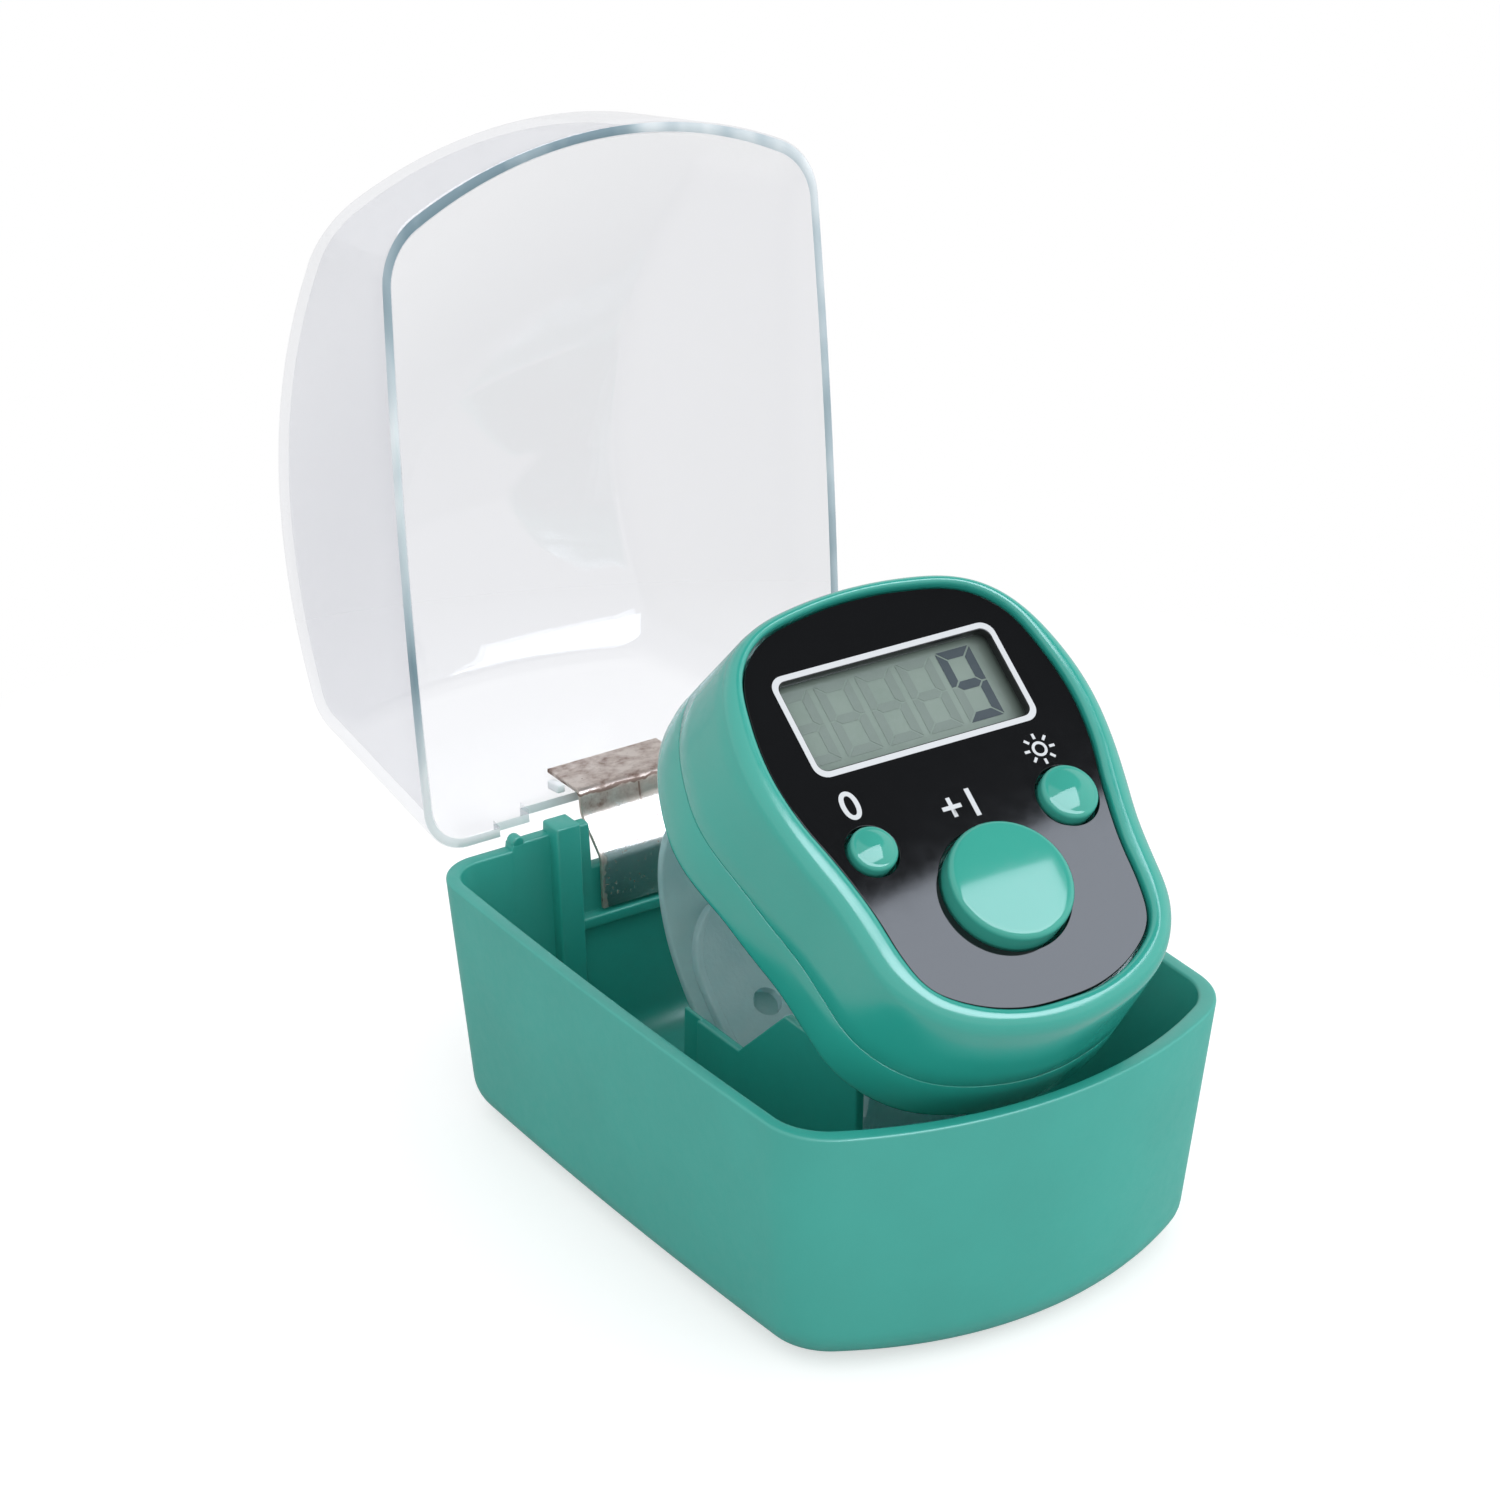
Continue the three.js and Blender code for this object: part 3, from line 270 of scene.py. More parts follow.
def quarter_round(radius, steps):
    """(inset, rise) points from the side of a rounded edge to its top."""
    angles = np.linspace(0, pi / 2, steps + 1)
    return [(radius * (1 - cos(a)), radius * sin(a)) for a in angles]


def swept(start, bend, end, steps):
    """Points of a parabola from start to end that leaves both towards bend."""
    return [(1 - s) ** 2 * start + 2 * s * (1 - s) * bend + s * s * end for s in np.linspace(0, 1, steps)]


def round_rect(middle_y, half_x, half_y, radius):
    """A rectangle with round corners whose middle is at x = 0."""
    right, top, bottom = half_x - radius, middle_y + half_y - radius, middle_y - half_y + radius
    corners = [(right, top), (-right, top), (-right, bottom), (right, bottom)]
    return [p for i, (x, y) in enumerate(corners) for p in arc(x, y, radius, 90 * i, 90 * i + 90, 8)]


def box_plan(side, back, front, inset=0.0):
    """The box's plan: straight back, nearly straight sides and a bowed front, drawn in by each lean."""
    half, back_y, bow = BOX.half - side - inset, BOX.back_y - back - inset, BOX.front_bow
    back_r, front_r = (max(radius - inset, 0.4) for radius in (BOX.back_radius, BOX.front_radius))
    bow_r = (half ** 2 + bow ** 2) / (2 * bow)
    bow_y = BOX.front_y + front + inset - bow + bow_r
    corner_x, side_end = half - front_r, back_y - back_r
    corner_y = bow_y - sqrt((bow_r - front_r) ** 2 - corner_x ** 2)
    turn = degrees(atan2(corner_x, bow_y - corner_y))
    right = arc(0, bow_y, bow_r, 270, 270 + turn, 20)
    right += arc(corner_x, corner_y, front_r, 270 + turn, 360, 16)[1:]
    right += [(half, corner_y + (side_end - corner_y) * s) for s in np.linspace(0, 1, 18)[1:-1]]
    right += arc(half - back_r, side_end, back_r, 0, 90, 14)
    fit = min((half - back_r - 0.02) / BACK_STOPS[0], 1)
    right += [(x * fit, back_y) for x in BACK_STOPS]
    middle, reach = (side_end + corner_y) / 2, (side_end - corner_y) / 2
    bowed = [(x + BOX.side_bow * max(1 - ((y - middle) / reach) ** 2, 0), y) for x, y in right]
    return bowed + [(-x, y) for x, y in bowed[:0:-1]]


def on_back(x, y, reach):
    return y > BACK_ZONE and abs(x) < reach


def unit(rows):
    return rows / np.linalg.norm(rows, axis=1)[:, None]


def even(line, count, closed=True):
    """Resamples a line at equal steps. Gives the points and the line's length."""
    if closed:
        line = np.vstack([line, line[:1]])
    reach = np.concatenate([[0], np.cumsum(np.linalg.norm(np.diff(line, axis=0), axis=1))])
    at = np.linspace(0, reach[-1], count, endpoint=not closed)
    return np.stack([np.interp(at, reach, line[:, k]) for k in (0, 1)], 1), reach[-1]


def closed_outline(half, inset=0.0, lean=None, count=240):
    """An even, closed curve through a half outline and its mirror image, drawn in by inset.

    lean gives a further inset at each height y.
    """
    points = np.array(half + [(-x, y) for x, y in half[-2:0:-1]], float)
    dense = []
    for i in range(len(points)):
        p0, p1, p2, p3 = (points[(i + k) % len(points)] for k in (-1, 0, 1, 2))
        d0, d1, d2 = (sqrt(np.linalg.norm(b - a)) for a, b in ((p0, p1), (p1, p2), (p2, p3)))
        t1 = ((p1 - p0) / d0 - (p2 - p0) / (d0 + d1) + (p2 - p1) / d1) * d1
        t2 = ((p2 - p1) / d1 - (p3 - p1) / (d1 + d2) + (p3 - p2) / d2) * d1
        dense += [p1 + t1 * s + (-3 * p1 + 3 * p2 - 2 * t1 - t2) * s ** 2 + (2 * p1 - 2 * p2 + t1 + t2) * s ** 3
                  for s in np.linspace(0, 1, 24, endpoint=False)]
    ring, _ = even(np.array(dense), count)
    for _ in range(6):
        ring = (np.roll(ring, 1, 0) + 2 * ring + np.roll(ring, -1, 0)) / 4
    ring = even(ring, count)[0][::-1]
    along = unit(np.roll(ring, -1, 0) - np.roll(ring, 1, 0))
    inwards = inset + (lean(ring[:, 1]) if lean else np.zeros(count))
    return ring + np.stack([-along[:, 1], along[:, 0]], 1) * inwards[:, None]


# Materials

def connect(source, socket):
    """Feeds a socket from an output, or sets its constant value."""
    if isinstance(source, bpy.types.NodeSocket):
        socket.id_data.links.new(source, socket)
    else:
        socket.default_value = source


def feed(target, **sources):
    """Connects a node's inputs by name, with an underscore for a space."""
    for key, source in sources.items():
        connect(source, target.inputs[key.replace("_", " ")])


def material(name, base, roughness, metallic=0.0, **inputs):
    """A new node material, its tree and its shader, whose constant values are on its own sockets."""
    made = bpy.data.materials.new(name)
    made.use_nodes = True
    shader = made.node_tree.nodes["Principled BSDF"]
    feed(shader, Base_Color=(*base, 1), Roughness=roughness, Metallic=metallic, **inputs)
    return made, made.node_tree, shader


def node(tree, kind, **settings):
    """A new node. Each setting is one of its inputs or else one of its attributes."""
    made = tree.nodes.new("ShaderNode" + kind)
    for key, value in settings.items():
        if key.replace("_", " ") in made.inputs:
            feed(made, **{key: value})
        else:
            setattr(made, key, value)
    return made


def number(tree, operation, *values, kind="Math"):
    """The number that a maths node makes of outputs and constants."""
    made = node(tree, kind, operation=operation)
    for value, socket in zip(values, made.inputs):
        connect(value, socket)
    return made.outputs["Value"]


def vector_number(tree, operation, *values):
    return number(tree, operation, *values, kind="VectorMath")


def object_place(tree):
    return node(tree, "TexCoord").outputs["Object"]


def object_axes(tree):
    return node(tree, "SeparateXYZ", Vector=object_place(tree)).outputs


def noise(tree, scale, detail=3, roughness=0.5, stretch=(1, 1, 1)):
    """Noise in object space; scale is in features per metre."""
    turn = node(tree, "Mapping", Vector=object_place(tree), Scale=stretch)
    return node(tree, "TexNoise", Vector=turn.outputs["Vector"], Scale=scale, Detail=detail,
                Roughness=roughness).outputs["Fac"]


def ramp(tree, source, stops):
    """Maps a factor to colours at the given positions."""
    made = node(tree, "ValToRGB", Fac=source)
    made.color_ramp.elements.remove(made.color_ramp.elements[1])
    for i, (position, colour) in enumerate(stops):
        stop = made.color_ramp.elements[0] if i == 0 else made.color_ramp.elements.new(position)
        stop.position = position
        stop.color = (*colour, 1)
    return made.outputs["Color"]


def grey_ramp(tree, source, low, high, start=0.3, end=0.7):
    return node(tree, "MapRange", Value=source, From_Min=start, From_Max=end, To_Min=low,
                To_Max=high).outputs["Result"]


def bump(tree, height, strength, distance):
    return node(tree, "Bump", Height=height, Strength=strength, Distance=distance).outputs["Normal"]


def moulded(name, base, roughness, spread, grain, tint=0.05, relief=0.12, **inputs):
    """Moulded plastic: slight flow shades, uneven gloss and a fine mould texture."""
    made, tree, shader = material(name, base, roughness, **inputs)
    dark, light = (tuple(min(c * (1 + shade), 1) for c in base) for shade in (-tint, tint))
    feed(shader, Base_Color=ramp(tree, noise(tree, 90, 4, 0.55), [(0.3, dark), (0.7, light)]),
         Roughness=grey_ramp(tree, noise(tree, 900, 5, 0.6), roughness - spread, roughness + spread),
         Normal=bump(tree, noise(tree, grain), relief, 0.00006))
    return made


def make_materials():
    return dict(
        case=moulded("case_green", (0.019, 0.35, 0.288), 0.42, 0.05, 2600, Specular_IOR_Level=1.0),
        shell=moulded("shell_green", (0.026, 0.36, 0.293), 0.2, 0.04, 500, tint=0.03, relief=0.06,
                      Specular_IOR_Level=0.75, Coat_Weight=0.25, Coat_Roughness=0.08),
        button=moulded("button_green", (0.045, 0.365, 0.292), 0.08, 0.015, 300, tint=0.03, relief=0.01,
                       Coat_Weight=0.2, Coat_Roughness=0.03),
        clear=clear_plastic(),
        clear_edge=clear_edge(),
        panel=moulded("panel_black", (0.0055, 0.006, 0.007), 0.045, 0.01, 120, tint=0.1, relief=0.012),
        print=moulded("print_white", (0.6, 0.62, 0.64), 0.45, 0.05, 4000, tint=0.02),
        display=display_glass(),
        segment=moulded("segment_dark", (0.022, 0.04, 0.05), 0.35, 0.05, 1500),
        ghost=moulded("segment_ghost", (0.155, 0.205, 0.178), 0.35, 0.05, 1500),
        strap=frosted_strap(),
        clip=stained_steel(),
        screw=brushed("screw_steel", (0.55, 0.54, 0.52), 0.3),
        nickel=brushed("nickel_plate", (0.66, 0.65, 0.61), 0.22),
        board=moulded("solder_mask", (0.02, 0.13, 0.05), 0.35, 0.08, 1800, tint=0.2),
        epoxy=moulded("resin_black", (0.012, 0.012, 0.012), 0.25, 0.06, 700, tint=0.2),
        rubber=moulded("keypad_grey", (0.5, 0.52, 0.5), 0.7, 0.08, 3000),
        zebra=striped_rubber(),
        lamp=moulded("lamp_white", (0.85, 0.84, 0.74), 0.2, 0.05, 900))


def clear_plastic():
    """Thin clear walls: nearly all see-through face on, denser towards their edges and paler there, a painted
    reflection.
    """
    made, tree, shader = material("clear_plastic", (0.24, 0.26, 0.375), 0.03, IOR=2.8)
    facing = node(tree, "LayerWeight", Blend=0.35).outputs["Facing"]
    feed(shader, Alpha=grey_ramp(tree, facing, 0.15, 0.18, 0.4, 0.8),
         # The base colour turns paler at grazing angles: a painted reflection.
         Base_Color=ramp(tree, facing, [(0.22, (0.24, 0.26, 0.375)), (0.4, (0.58, 0.59, 0.68))]),
         Roughness=grey_ramp(tree, noise(tree, 60, 5, 0.6, (1, 1, 0.4)), 0.02, 0.07, 0.45, 0.8),
         Normal=bump(tree, noise(tree, 45, 2, 0.4), 0.05, 0.0002))
    return made


def clear_edge():
    """The lid's cut edge, blue-grey end on, with painted reflections in long dark and pale streaks and a
    painted highlight near the hinge.
    """
    made, tree, shader = material("clear_edge", (0.48, 0.56, 0.6), 0.14, IOR=1.6)
    # Painted highlight: the edge turns paler low down, near the hinge.
    painted_hinge_highlight = grey_ramp(tree, object_axes(tree)["Z"], 0.25, 0.0, *HINGE_HIGHLIGHT_SPAN)
    # Long noise streaks move the edge's colour between dark and pale: painted reflections.
    pale = number(tree, "ADD", noise(tree, 70, 3, 0.55, (1.6, 1, 0.7)), painted_hinge_highlight)
    feed(shader, Base_Color=ramp(tree, pale, [(0.36, (0.18, 0.27, 0.32)), (0.5, (0.42, 0.51, 0.56)),
                                              (0.66, (0.85, 0.88, 0.9))]),
         Roughness=grey_ramp(tree, noise(tree, 400), 0.08, 0.2))
    return made


def face_distance(tree, axis, start):
    """Distance along an axis of the counter's face from a height on it, in metres."""
    along = vector_number(tree, "DOT_PRODUCT", object_place(tree), axis)
    return number(tree, "SUBTRACT", along, axis.dot(COUNTER.translation) + start * MM)


def display_glass():
    """Grey-green glass, in the shade of the panel along its right and top edge."""
    made, tree, shader = material("display_glass", (0.25, 0.325, 0.29), 0.12)
    cloud = ramp(tree, noise(tree, 160), [(0.3, (0.215, 0.28, 0.248)), (0.7, (0.245, 0.31, 0.277))])
    right, up = (COUNTER.col[i].to_3d() for i in (0, 1))
    shade = number(tree, "MULTIPLY", grey_ramp(tree, face_distance(tree, right, 0), 1.0, 0.35, *SHADE_RIGHT),
                   grey_ramp(tree, face_distance(tree, up, LCD_Y), 1.0, 0.55, *SHADE_TOP))
    shaded = node(tree, "VectorMath", operation="SCALE", Vector=cloud, Scale=shade)
    feed(shader, Base_Color=shaded.outputs["Vector"],
         Roughness=grey_ramp(tree, noise(tree, 5000, 2), 0.1, 0.2))
    return made


def frosted_strap():
    made, tree, shader = material("frosted_strap", (0.66, 0.88, 0.89), 0.45, IOR=1.45, Transmission_Weight=0.56)
    feed(shader, Roughness=grey_ramp(tree, noise(tree, 700, 4), 0.35, 0.6),
         Base_Color=ramp(tree, noise(tree, 220, 4), [(0.3, (0.6, 0.84, 0.86)), (0.7, (0.74, 0.93, 0.95))]),
         Normal=bump(tree, noise(tree, 2200, 4, 0.6, (1, 1, 0.35)), 0.5, 0.0001))
    return made


def rust_line(tree, stain, where, source, middle, reach):
    """Darkens the stain in a narrow line where a coordinate passes a value."""
    away = number(tree, "ABSOLUTE", number(tree, "SUBTRACT", source, middle))
    line = number(tree, "MULTIPLY", grey_ramp(tree, away, 0.9, 0.0, reach * 0.4, reach), where)
    return number(tree, "MAXIMUM", stain, line)


def stained_steel():
    """Bright spring steel whose upper step and plate are stained brown, with rust blotches."""
    made, tree, shader = material("stained_steel", (0.7, 0.68, 0.65), 0.25, 1.0)
    axes = object_axes(tree)
    ragged = number(tree, "MULTIPLY_ADD", noise(tree, 700, 5, 0.6), 0.0008, axes["Z"])
    frayed = number(tree, "MULTIPLY_ADD", noise(tree, 500, 5, 0.6), -0.0016, axes["X"])
    stained = number(tree, "MAXIMUM", grey_ramp(tree, ragged, 0.0, 1.0, *STAIN_FOOT),
                     grey_ramp(tree, frayed, 1.0, 0.0, *STAIN_LEFT))
    blotch = grey_ramp(tree, noise(tree, 420, 7, 0.66, (1, 1.4, 1)), 0.3, 1.0, 0.4, 0.66)
    specks = grey_ramp(tree, noise(tree, 3200, 2), 0.0, 0.8, 0.66, 0.72)
    stain = number(tree, "MAXIMUM", number(tree, "MULTIPLY", stained, blotch), specks)
    step = number(tree, "MULTIPLY", stained, grey_ramp(tree, axes["Z"], 1.0, 0.0, *STEP_TOP))
    stain = rust_line(tree, stain, stained, ragged, *BEND_LINE)
    stain = rust_line(tree, stain, step, axes["X"], *STEP_LINE)
    feed(shader, Base_Color=ramp(tree, stain, [(0.0, (0.66, 0.65, 0.64)), (0.3, (0.62, 0.55, 0.5)),
                                               (0.65, (0.44, 0.36, 0.32)), (1.0, (0.12, 0.055, 0.035))]),
         Roughness=grey_ramp(tree, stain, 0.2, 0.55, 0.0, 1.0),
         Metallic=grey_ramp(tree, stain, 1.0, 0.3, 0.1, 1.0),
         Normal=bump(tree, noise(tree, 1500, 5, 0.6, (0.3, 2, 1)), 0.25, 0.00004))
    return made


def brushed(name, base, roughness):
    made, tree, shader = material(name, base, roughness, 1.0)
    lines = noise(tree, 2500, 4, 0.6, (1, 0.08, 1))
    feed(shader, Roughness=grey_ramp(tree, lines, roughness - 0.08, roughness + 0.1),
         Base_Color=ramp(tree, noise(tree, 300), [(0.3, tuple(c * 0.85 for c in base)), (0.7, base)]),
         Normal=bump(tree, lines, 0.1, 0.00003))
    return made


def striped_rubber():
    made, tree, shader = material("zebra_rubber", (0.55, 0.33, 0.33), 0.7)
    wave = node(tree, "TexWave", Vector=object_place(tree), Scale=800).outputs["Fac"]
    feed(shader, Base_Color=ramp(tree, wave, [(0.4, (0.6, 0.36, 0.36)), (0.6, (0.04, 0.03, 0.03))]),
         Normal=bump(tree, wave, 0.2, 0.00005))
    return made


def dress(piece, finish, body=None, replaces=()):
    """Gives a piece its finish, the body that it rides on and the nodes that it stands for."""
    piece.data.materials.clear()
    piece.data.materials.append(finish)
    if body:
        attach(piece, body)
    if replaces:
        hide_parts(*replaces)
    return piece


# Box

def tray_rim(x, y):
    """Height of the tray's rim at a place of its outline."""
    if on_back(x, y, NOTCH_SHOWN):
        return NOTCH_FLOOR
    if on_back(x, y, TAB_REACH):
        return BOX.height + TAB_RISE
    return BOX.height


def tray_ring(z, inset):
    drafts = (BOX[key] * (1 - z / BOX.height) for key in ("side_draft", "back_draft", "front_draft"))
    return level(box_plan(*drafts, inset), z)


def rim_ring(drop, inset):
    heights = [tray_rim(x, y) for x, y in box_plan(0, 0, 0)]
    plans = {h: tray_ring(h - drop, inset) for h in set(heights)}
    return [plans[h][i] for i, h in enumerate(heights)]


def inner_back(z):
    return BOX.back_y - BOX.back_draft * (1 - z / BOX.height) - BOX.wall


def make_tray(finish):
    foot, wall = BOX.foot_radius, BOX.wall
    rings = [tray_ring(foot - rise, inset) for inset, rise in quarter_round(foot, 12)[::-1]]
    rings += [rim_ring(RIM_SOFT - rise, inset) for inset, rise in quarter_round(RIM_SOFT, 3)]
    rings += [rim_ring(RIM_SOFT - rise, wall - inset) for inset, rise in quarter_round(RIM_SOFT, 3)[::-1]]
    bend = foot - wall
    rings += [tray_ring(BOX.floor + bend - rise, wall + inset) for inset, rise in quarter_round(bend, 8)]
    extras = [clip_ledge()]
    for side in (-1, 1):
        extras += [rim_bump(side), rail(side), rib(side), rib_toe(side)]
    tray = merge("tray_moulding", [loft("tray_wall", rings, 40)] + [rounded(e, RIB_SOFT, 3) for e in extras])
    dress(tray, finish, "tray", ["case_tray"])


def side_plate(name, outline, side, near, far):
    """A plate square to X between two distances from the middle, from (y, z) points."""
    return loft(name, [[(side * x, y, z) for y, z in outline] for x in (near, far)])


def rim_bump(side):
    """A small round bump on the rim, in the corner of the lid's notch."""
    x, y = side * (TAB_REACH - BUMP_RADIUS), BOX.back_y - BOX.wall / 2
    z, reach = BOX.height + TAB_RISE, (BOX.wall - 0.1) / 2
    bump_outline = circle(x, z, BUMP_RADIUS, 24)
    return loft("rim_bump", [[(bx, end, bz) for bx, bz in bump_outline] for end in (y - reach, y + reach)])


def rail(side):
    low, shoulder, top = BOX.floor - ROOT, BOX.height - 0.5, BOX.height + POST_RISE
    foot, head, outside = inner_back(BOX.floor), inner_back(BOX.height), BOX.back_y - 0.02
    outline = [(foot - POST_DEPTH, low), (foot + ROOT, low), (head + ROOT, shoulder), (outside, shoulder),
               (outside, top), (head - POST_DEPTH, top)]
    return side_plate("rail", outline, side, POST_GAP, POST_GAP + POST_WIDTH)


def rib(side):
    low, back, front = BOX.floor - ROOT, RIB.back_y, RIB.front_y
    outline = [(back, low), (back, RIB.low_top), (RIB.low_y, RIB.low_top),
               (RIB.peak_y, RIB.high_top), (front, RIB.high_top), (front, low)]
    return side_plate("rib", outline, side, RIB.gap, RIB.gap + RIB.thickness)


def rib_toe(side):
    y0, y1 = RIB.back_y - 0.2, RIB.back_y + RIB.toe
    low, top = BOX.floor - ROOT, RIB.low_top - 0.02
    return side_plate("rib_toe", [(y0, low), (y0, top), (y1, top), (y1, low)], side, RIB.gap + 0.02,
                      RIB.gap + RIB.toe_thickness)


def clip_ledge():
    y, half = inner_back(LEDGE_TOP), POST_GAP + 0.5
    return box("clip_ledge", -half, half, y - POST_DEPTH, y + 0.4, LEDGE_TOP - LEDGE_THICKNESS, LEDGE_TOP)


# Lid, shaped closed and then turned open

def dome(x, y, skin):
    """Height of the lid's top over its rim."""
    return (LID.top - skin - (y - LID.crest_y) ** 2 / (2 * LID.dome_radius)
            - LID.crown * (x / LID.crown_reach) ** 2)


def lid_plan(height, skin):
    leans = (LID[key] * height for key in ("side_lean", "back_lean", "front_lean"))
    return np.array(box_plan(*leans, skin))


def lid_rim(x, y):
    if on_back(x, y, LID_NOTCH):
        return LID.clip_notch
    if on_back(x, y, TAB_NOTCH):
        return TAB_RISE + BUMP_RADIUS + LID.notch_gap - LID.seam
    return 0.0


def lid_rings(skin):
    """Rings of one face of the lid from its rim to near the crest; skin is its depth under the outside."""
    radius = max(LID.edge_radius - skin, 0.5)
    at_zero = lid_plan(0, skin)
    slope = (lid_plan(LID.top, skin) - at_zero) / LID.top

    def wall(height):
        return np.column_stack([at_zero + slope * height[:, None], height])

    low, high = np.zeros(len(at_zero)), np.full(len(at_zero), float(LID.top))
    for _ in range(30):
        middle = (low + high) / 2
        p = wall(middle)
        under = middle < dome(p[:, 0], p[:, 1], skin)
        low, high = np.where(under, middle, low), np.where(under, high, middle)
    rim = np.array([lid_rim(x, y) for x, y in lid_plan(0, 0)]) + LID_SOFT
    rings = [wall(rim + (low - radius - rim) * s) for s in (0, 0.25, 0.5, 0.75)]
    start, bend = wall(low - radius), wall(low)
    over = bend[:, :2] + unit(np.array([0, LID.crest_y]) - bend[:, :2]) * radius
    end = np.column_stack([over, dome(over[:, 0], over[:, 1], skin)])
    rings += swept(start, bend, end, 9)
    for s in np.linspace(0, 0.96, 17)[1:]:
        x = over[:, 0] * (1 - s)
        y = over[:, 1] + (LID.crest_y - over[:, 1]) * s
        rings.append(np.column_stack([x, y, dome(x, y, skin)]))
    return rings


def make_lid(finish, edge_finish):
    base, crest, wall = BOX.height + LID.seam, LID.crest_y, LID.wall
    inner, outer = lid_rings(wall), lid_rings(0)
    edge = [np.array([(x, y, lid_rim(*q)) for (x, y), q in zip(lid_plan(0, inset), lid_plan(0, 0))])
            for inset in (wall - LID_SOFT, LID_SOFT)]
    rings = [ring + np.array([0, 0, base]) for ring in inner[::-1] + edge + outer]
    lid = loft("lid_shell", rings, 50, [(0, crest, base + LID.top - wall), (0, crest, base + LID.top)])
    count, first_hook = len(edge[0]), len(lid.data.polygons)
    rim = range(len(inner) * count, (len(inner) + 1) * count)
    hook_y, hook_z = BOX.back_y - wall - LID.back_lean * 4, base + LID.clip_notch
    hook_x = CLIP.half + HOOK.gap
    hooks = [rounded(box("hook", side * hook_x, side * (hook_x + HOOK.width), hook_y - HOOK.front,
                         hook_y + HOOK.back, hook_z - HOOK.below, hook_z + HOOK.above), 0.12)
             for side in (-1, 1)]
    lid = merge("lid_moulding", [lid] + hooks, sharp=50)
    pivot = Matrix.Translation(Vector((0, HINGE_Y, HINGE_Z)) * MM)
    lid.data.transform(pivot @ Matrix.Rotation(-radians(OPEN_ANGLE), 4, "X") @ pivot.inverted())
    dress(lid, finish, "lid", ["case_lid"])
    lid.data.materials.append(edge_finish)
    for face in lid.data.polygons:
        face.material_index = int(face.index in rim or face.index >= first_hook)


# Spring clip, a strip bent from the tray's ledge up over the hinge

def spline(points, count):
    """Even samples of a Catmull-Rom curve through (y, z) points, their directions and the length."""
    p = np.array(points, float)
    ends = np.vstack([2 * p[0] - p[1], p, 2 * p[-1] - p[-2]])
    dense = []
    for i in range(1, len(ends) - 2):
        a, b, c, d = ends[i - 1:i + 3]
        dense += [0.5 * (2 * b + (c - a) * s + (2 * a - 5 * b + 4 * c - d) * s ** 2
                         + (3 * b - a - 3 * c + d) * s ** 3) for s in np.linspace(0, 1, 40, endpoint=False)]
    line, length = even(np.array(dense + [p[-1]]), count, closed=False)
    return line, unit(np.gradient(line, axis=0)), length


def bent_line(corners, reach):
    """Points along straight stretches whose corners are rounded over the same reach on both sides."""
    corners = np.array(corners, float)
    line = [corners[0]]
    for before, corner, after in zip(corners, corners[1:], corners[2:]):
        start, end = corner + unit(np.array([before, after]) - corner) * reach
        line += swept(start, corner, end, 6)
    line = np.array(line + [corners[-1]])
    along = np.gradient(line, axis=0)
    chords = unit(np.diff(line, axis=0))
    along[1:-1] = chords[:-1] + chords[1:]
    return line, unit(along)


def make_clip(finish):
    """The bent strip, drawn across its path."""
    leg_y = inner_back(LEDGE_TOP) - GAP - CLIP.thickness
    plate_z = HINGE_Z + HINGE_Y - BOX.back_y + LID.wall + GAP + CLIP.thickness / 2
    line, along = bent_line([
        (leg_y, LEDGE_TOP + GAP), (leg_y + CLIP.knee_back, NOTCH_FLOOR + CLIP.knee_rise),
        (HINGE_Y + CLIP.slope_end, plate_z - CLIP.step_height), (HINGE_Y + CLIP.step_end, plate_z),
        (HINGE_Y + CLIP.plate_end, plate_z)], CLIP.bend)
    half_t, across = CLIP.thickness / 2, np.linspace(-CLIP.half, CLIP.half, 25)
    rings = [[(x, y - tz * t, z + ty * t) for xs, t in ((across, half_t), (across[::-1], -half_t)) for x in xs]
             for (y, z), (ty, tz) in zip(line, along)]
    clip = dress(rounded(loft("clip_strip", rings), 0.05, 1), finish, None, ["hinge_clip"])
    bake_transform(clip)


# Counter, shaped in its own axes and then placed

def place(piece):
    piece.data.transform(COUNTER)
    return piece


def body_outline(inset, z):
    """The body's outline at a depth: drawn in at the face, and flared below it in the upper lobe."""
    depth = min(max(-z / FLARE_DEPTH, 0), 1)

    def lean(y):
        upper = np.clip(y / FLARE_TOP, 0, 1)
        return LIP_INSET * (1 - depth) - FLARE * depth * upper * upper * (3 - 2 * upper)

    return closed_outline(BODY_HALF, inset, lean)


def body_ring(inset, z, lift=0.0):
    """The body's outline of a depth, laid at that depth or a little above it."""
    return level(body_outline(inset, z), z + lift)


def make_front_shell(finish):
    seat, shoulder, plate_top = closed_outline(PANEL_HALF, -0.2), LIP - EDGE_RADIUS, -PANEL_THICKNESS - GAP
    rings = [body_ring(WALL, z) for z in (plate_top - PLATE, PARTING)]
    rings += [body_ring(inset, PARTING, rise) for inset, rise in SEAM_ROUND]
    rings += [body_ring(0, z) for z in (-6, -4, -2, shoulder)]
    outer = body_outline(0, shoulder / 2)
    rings += [level(outer + (seat - outer) * LIP_CREST * inset, shoulder + EDGE_RADIUS * rise)
              for inset, rise in quarter_round(1, 14)[1:]]
    rings += [level(outer + (seat - outer) * (LIP_CREST + (1 - LIP_CREST) * rise), LIP - LIP_FALL * inset)
              for inset, rise in quarter_round(1, 7)[1:]]
    rings.append(level(seat, plate_top))
    tools = [prism("view", round_rect(LCD_Y, *VIEW), -4, 0)]
    tools += [rod("hole", b.x, b.y, b.radius + BUTTON_GAP, -4, 0) for b in BUTTONS.values()]
    shell = cut(loft("front_skin", rings, sharp=40), *tools, sharp=40)
    dress(place(shell), finish, "counter", ["front_shell"])


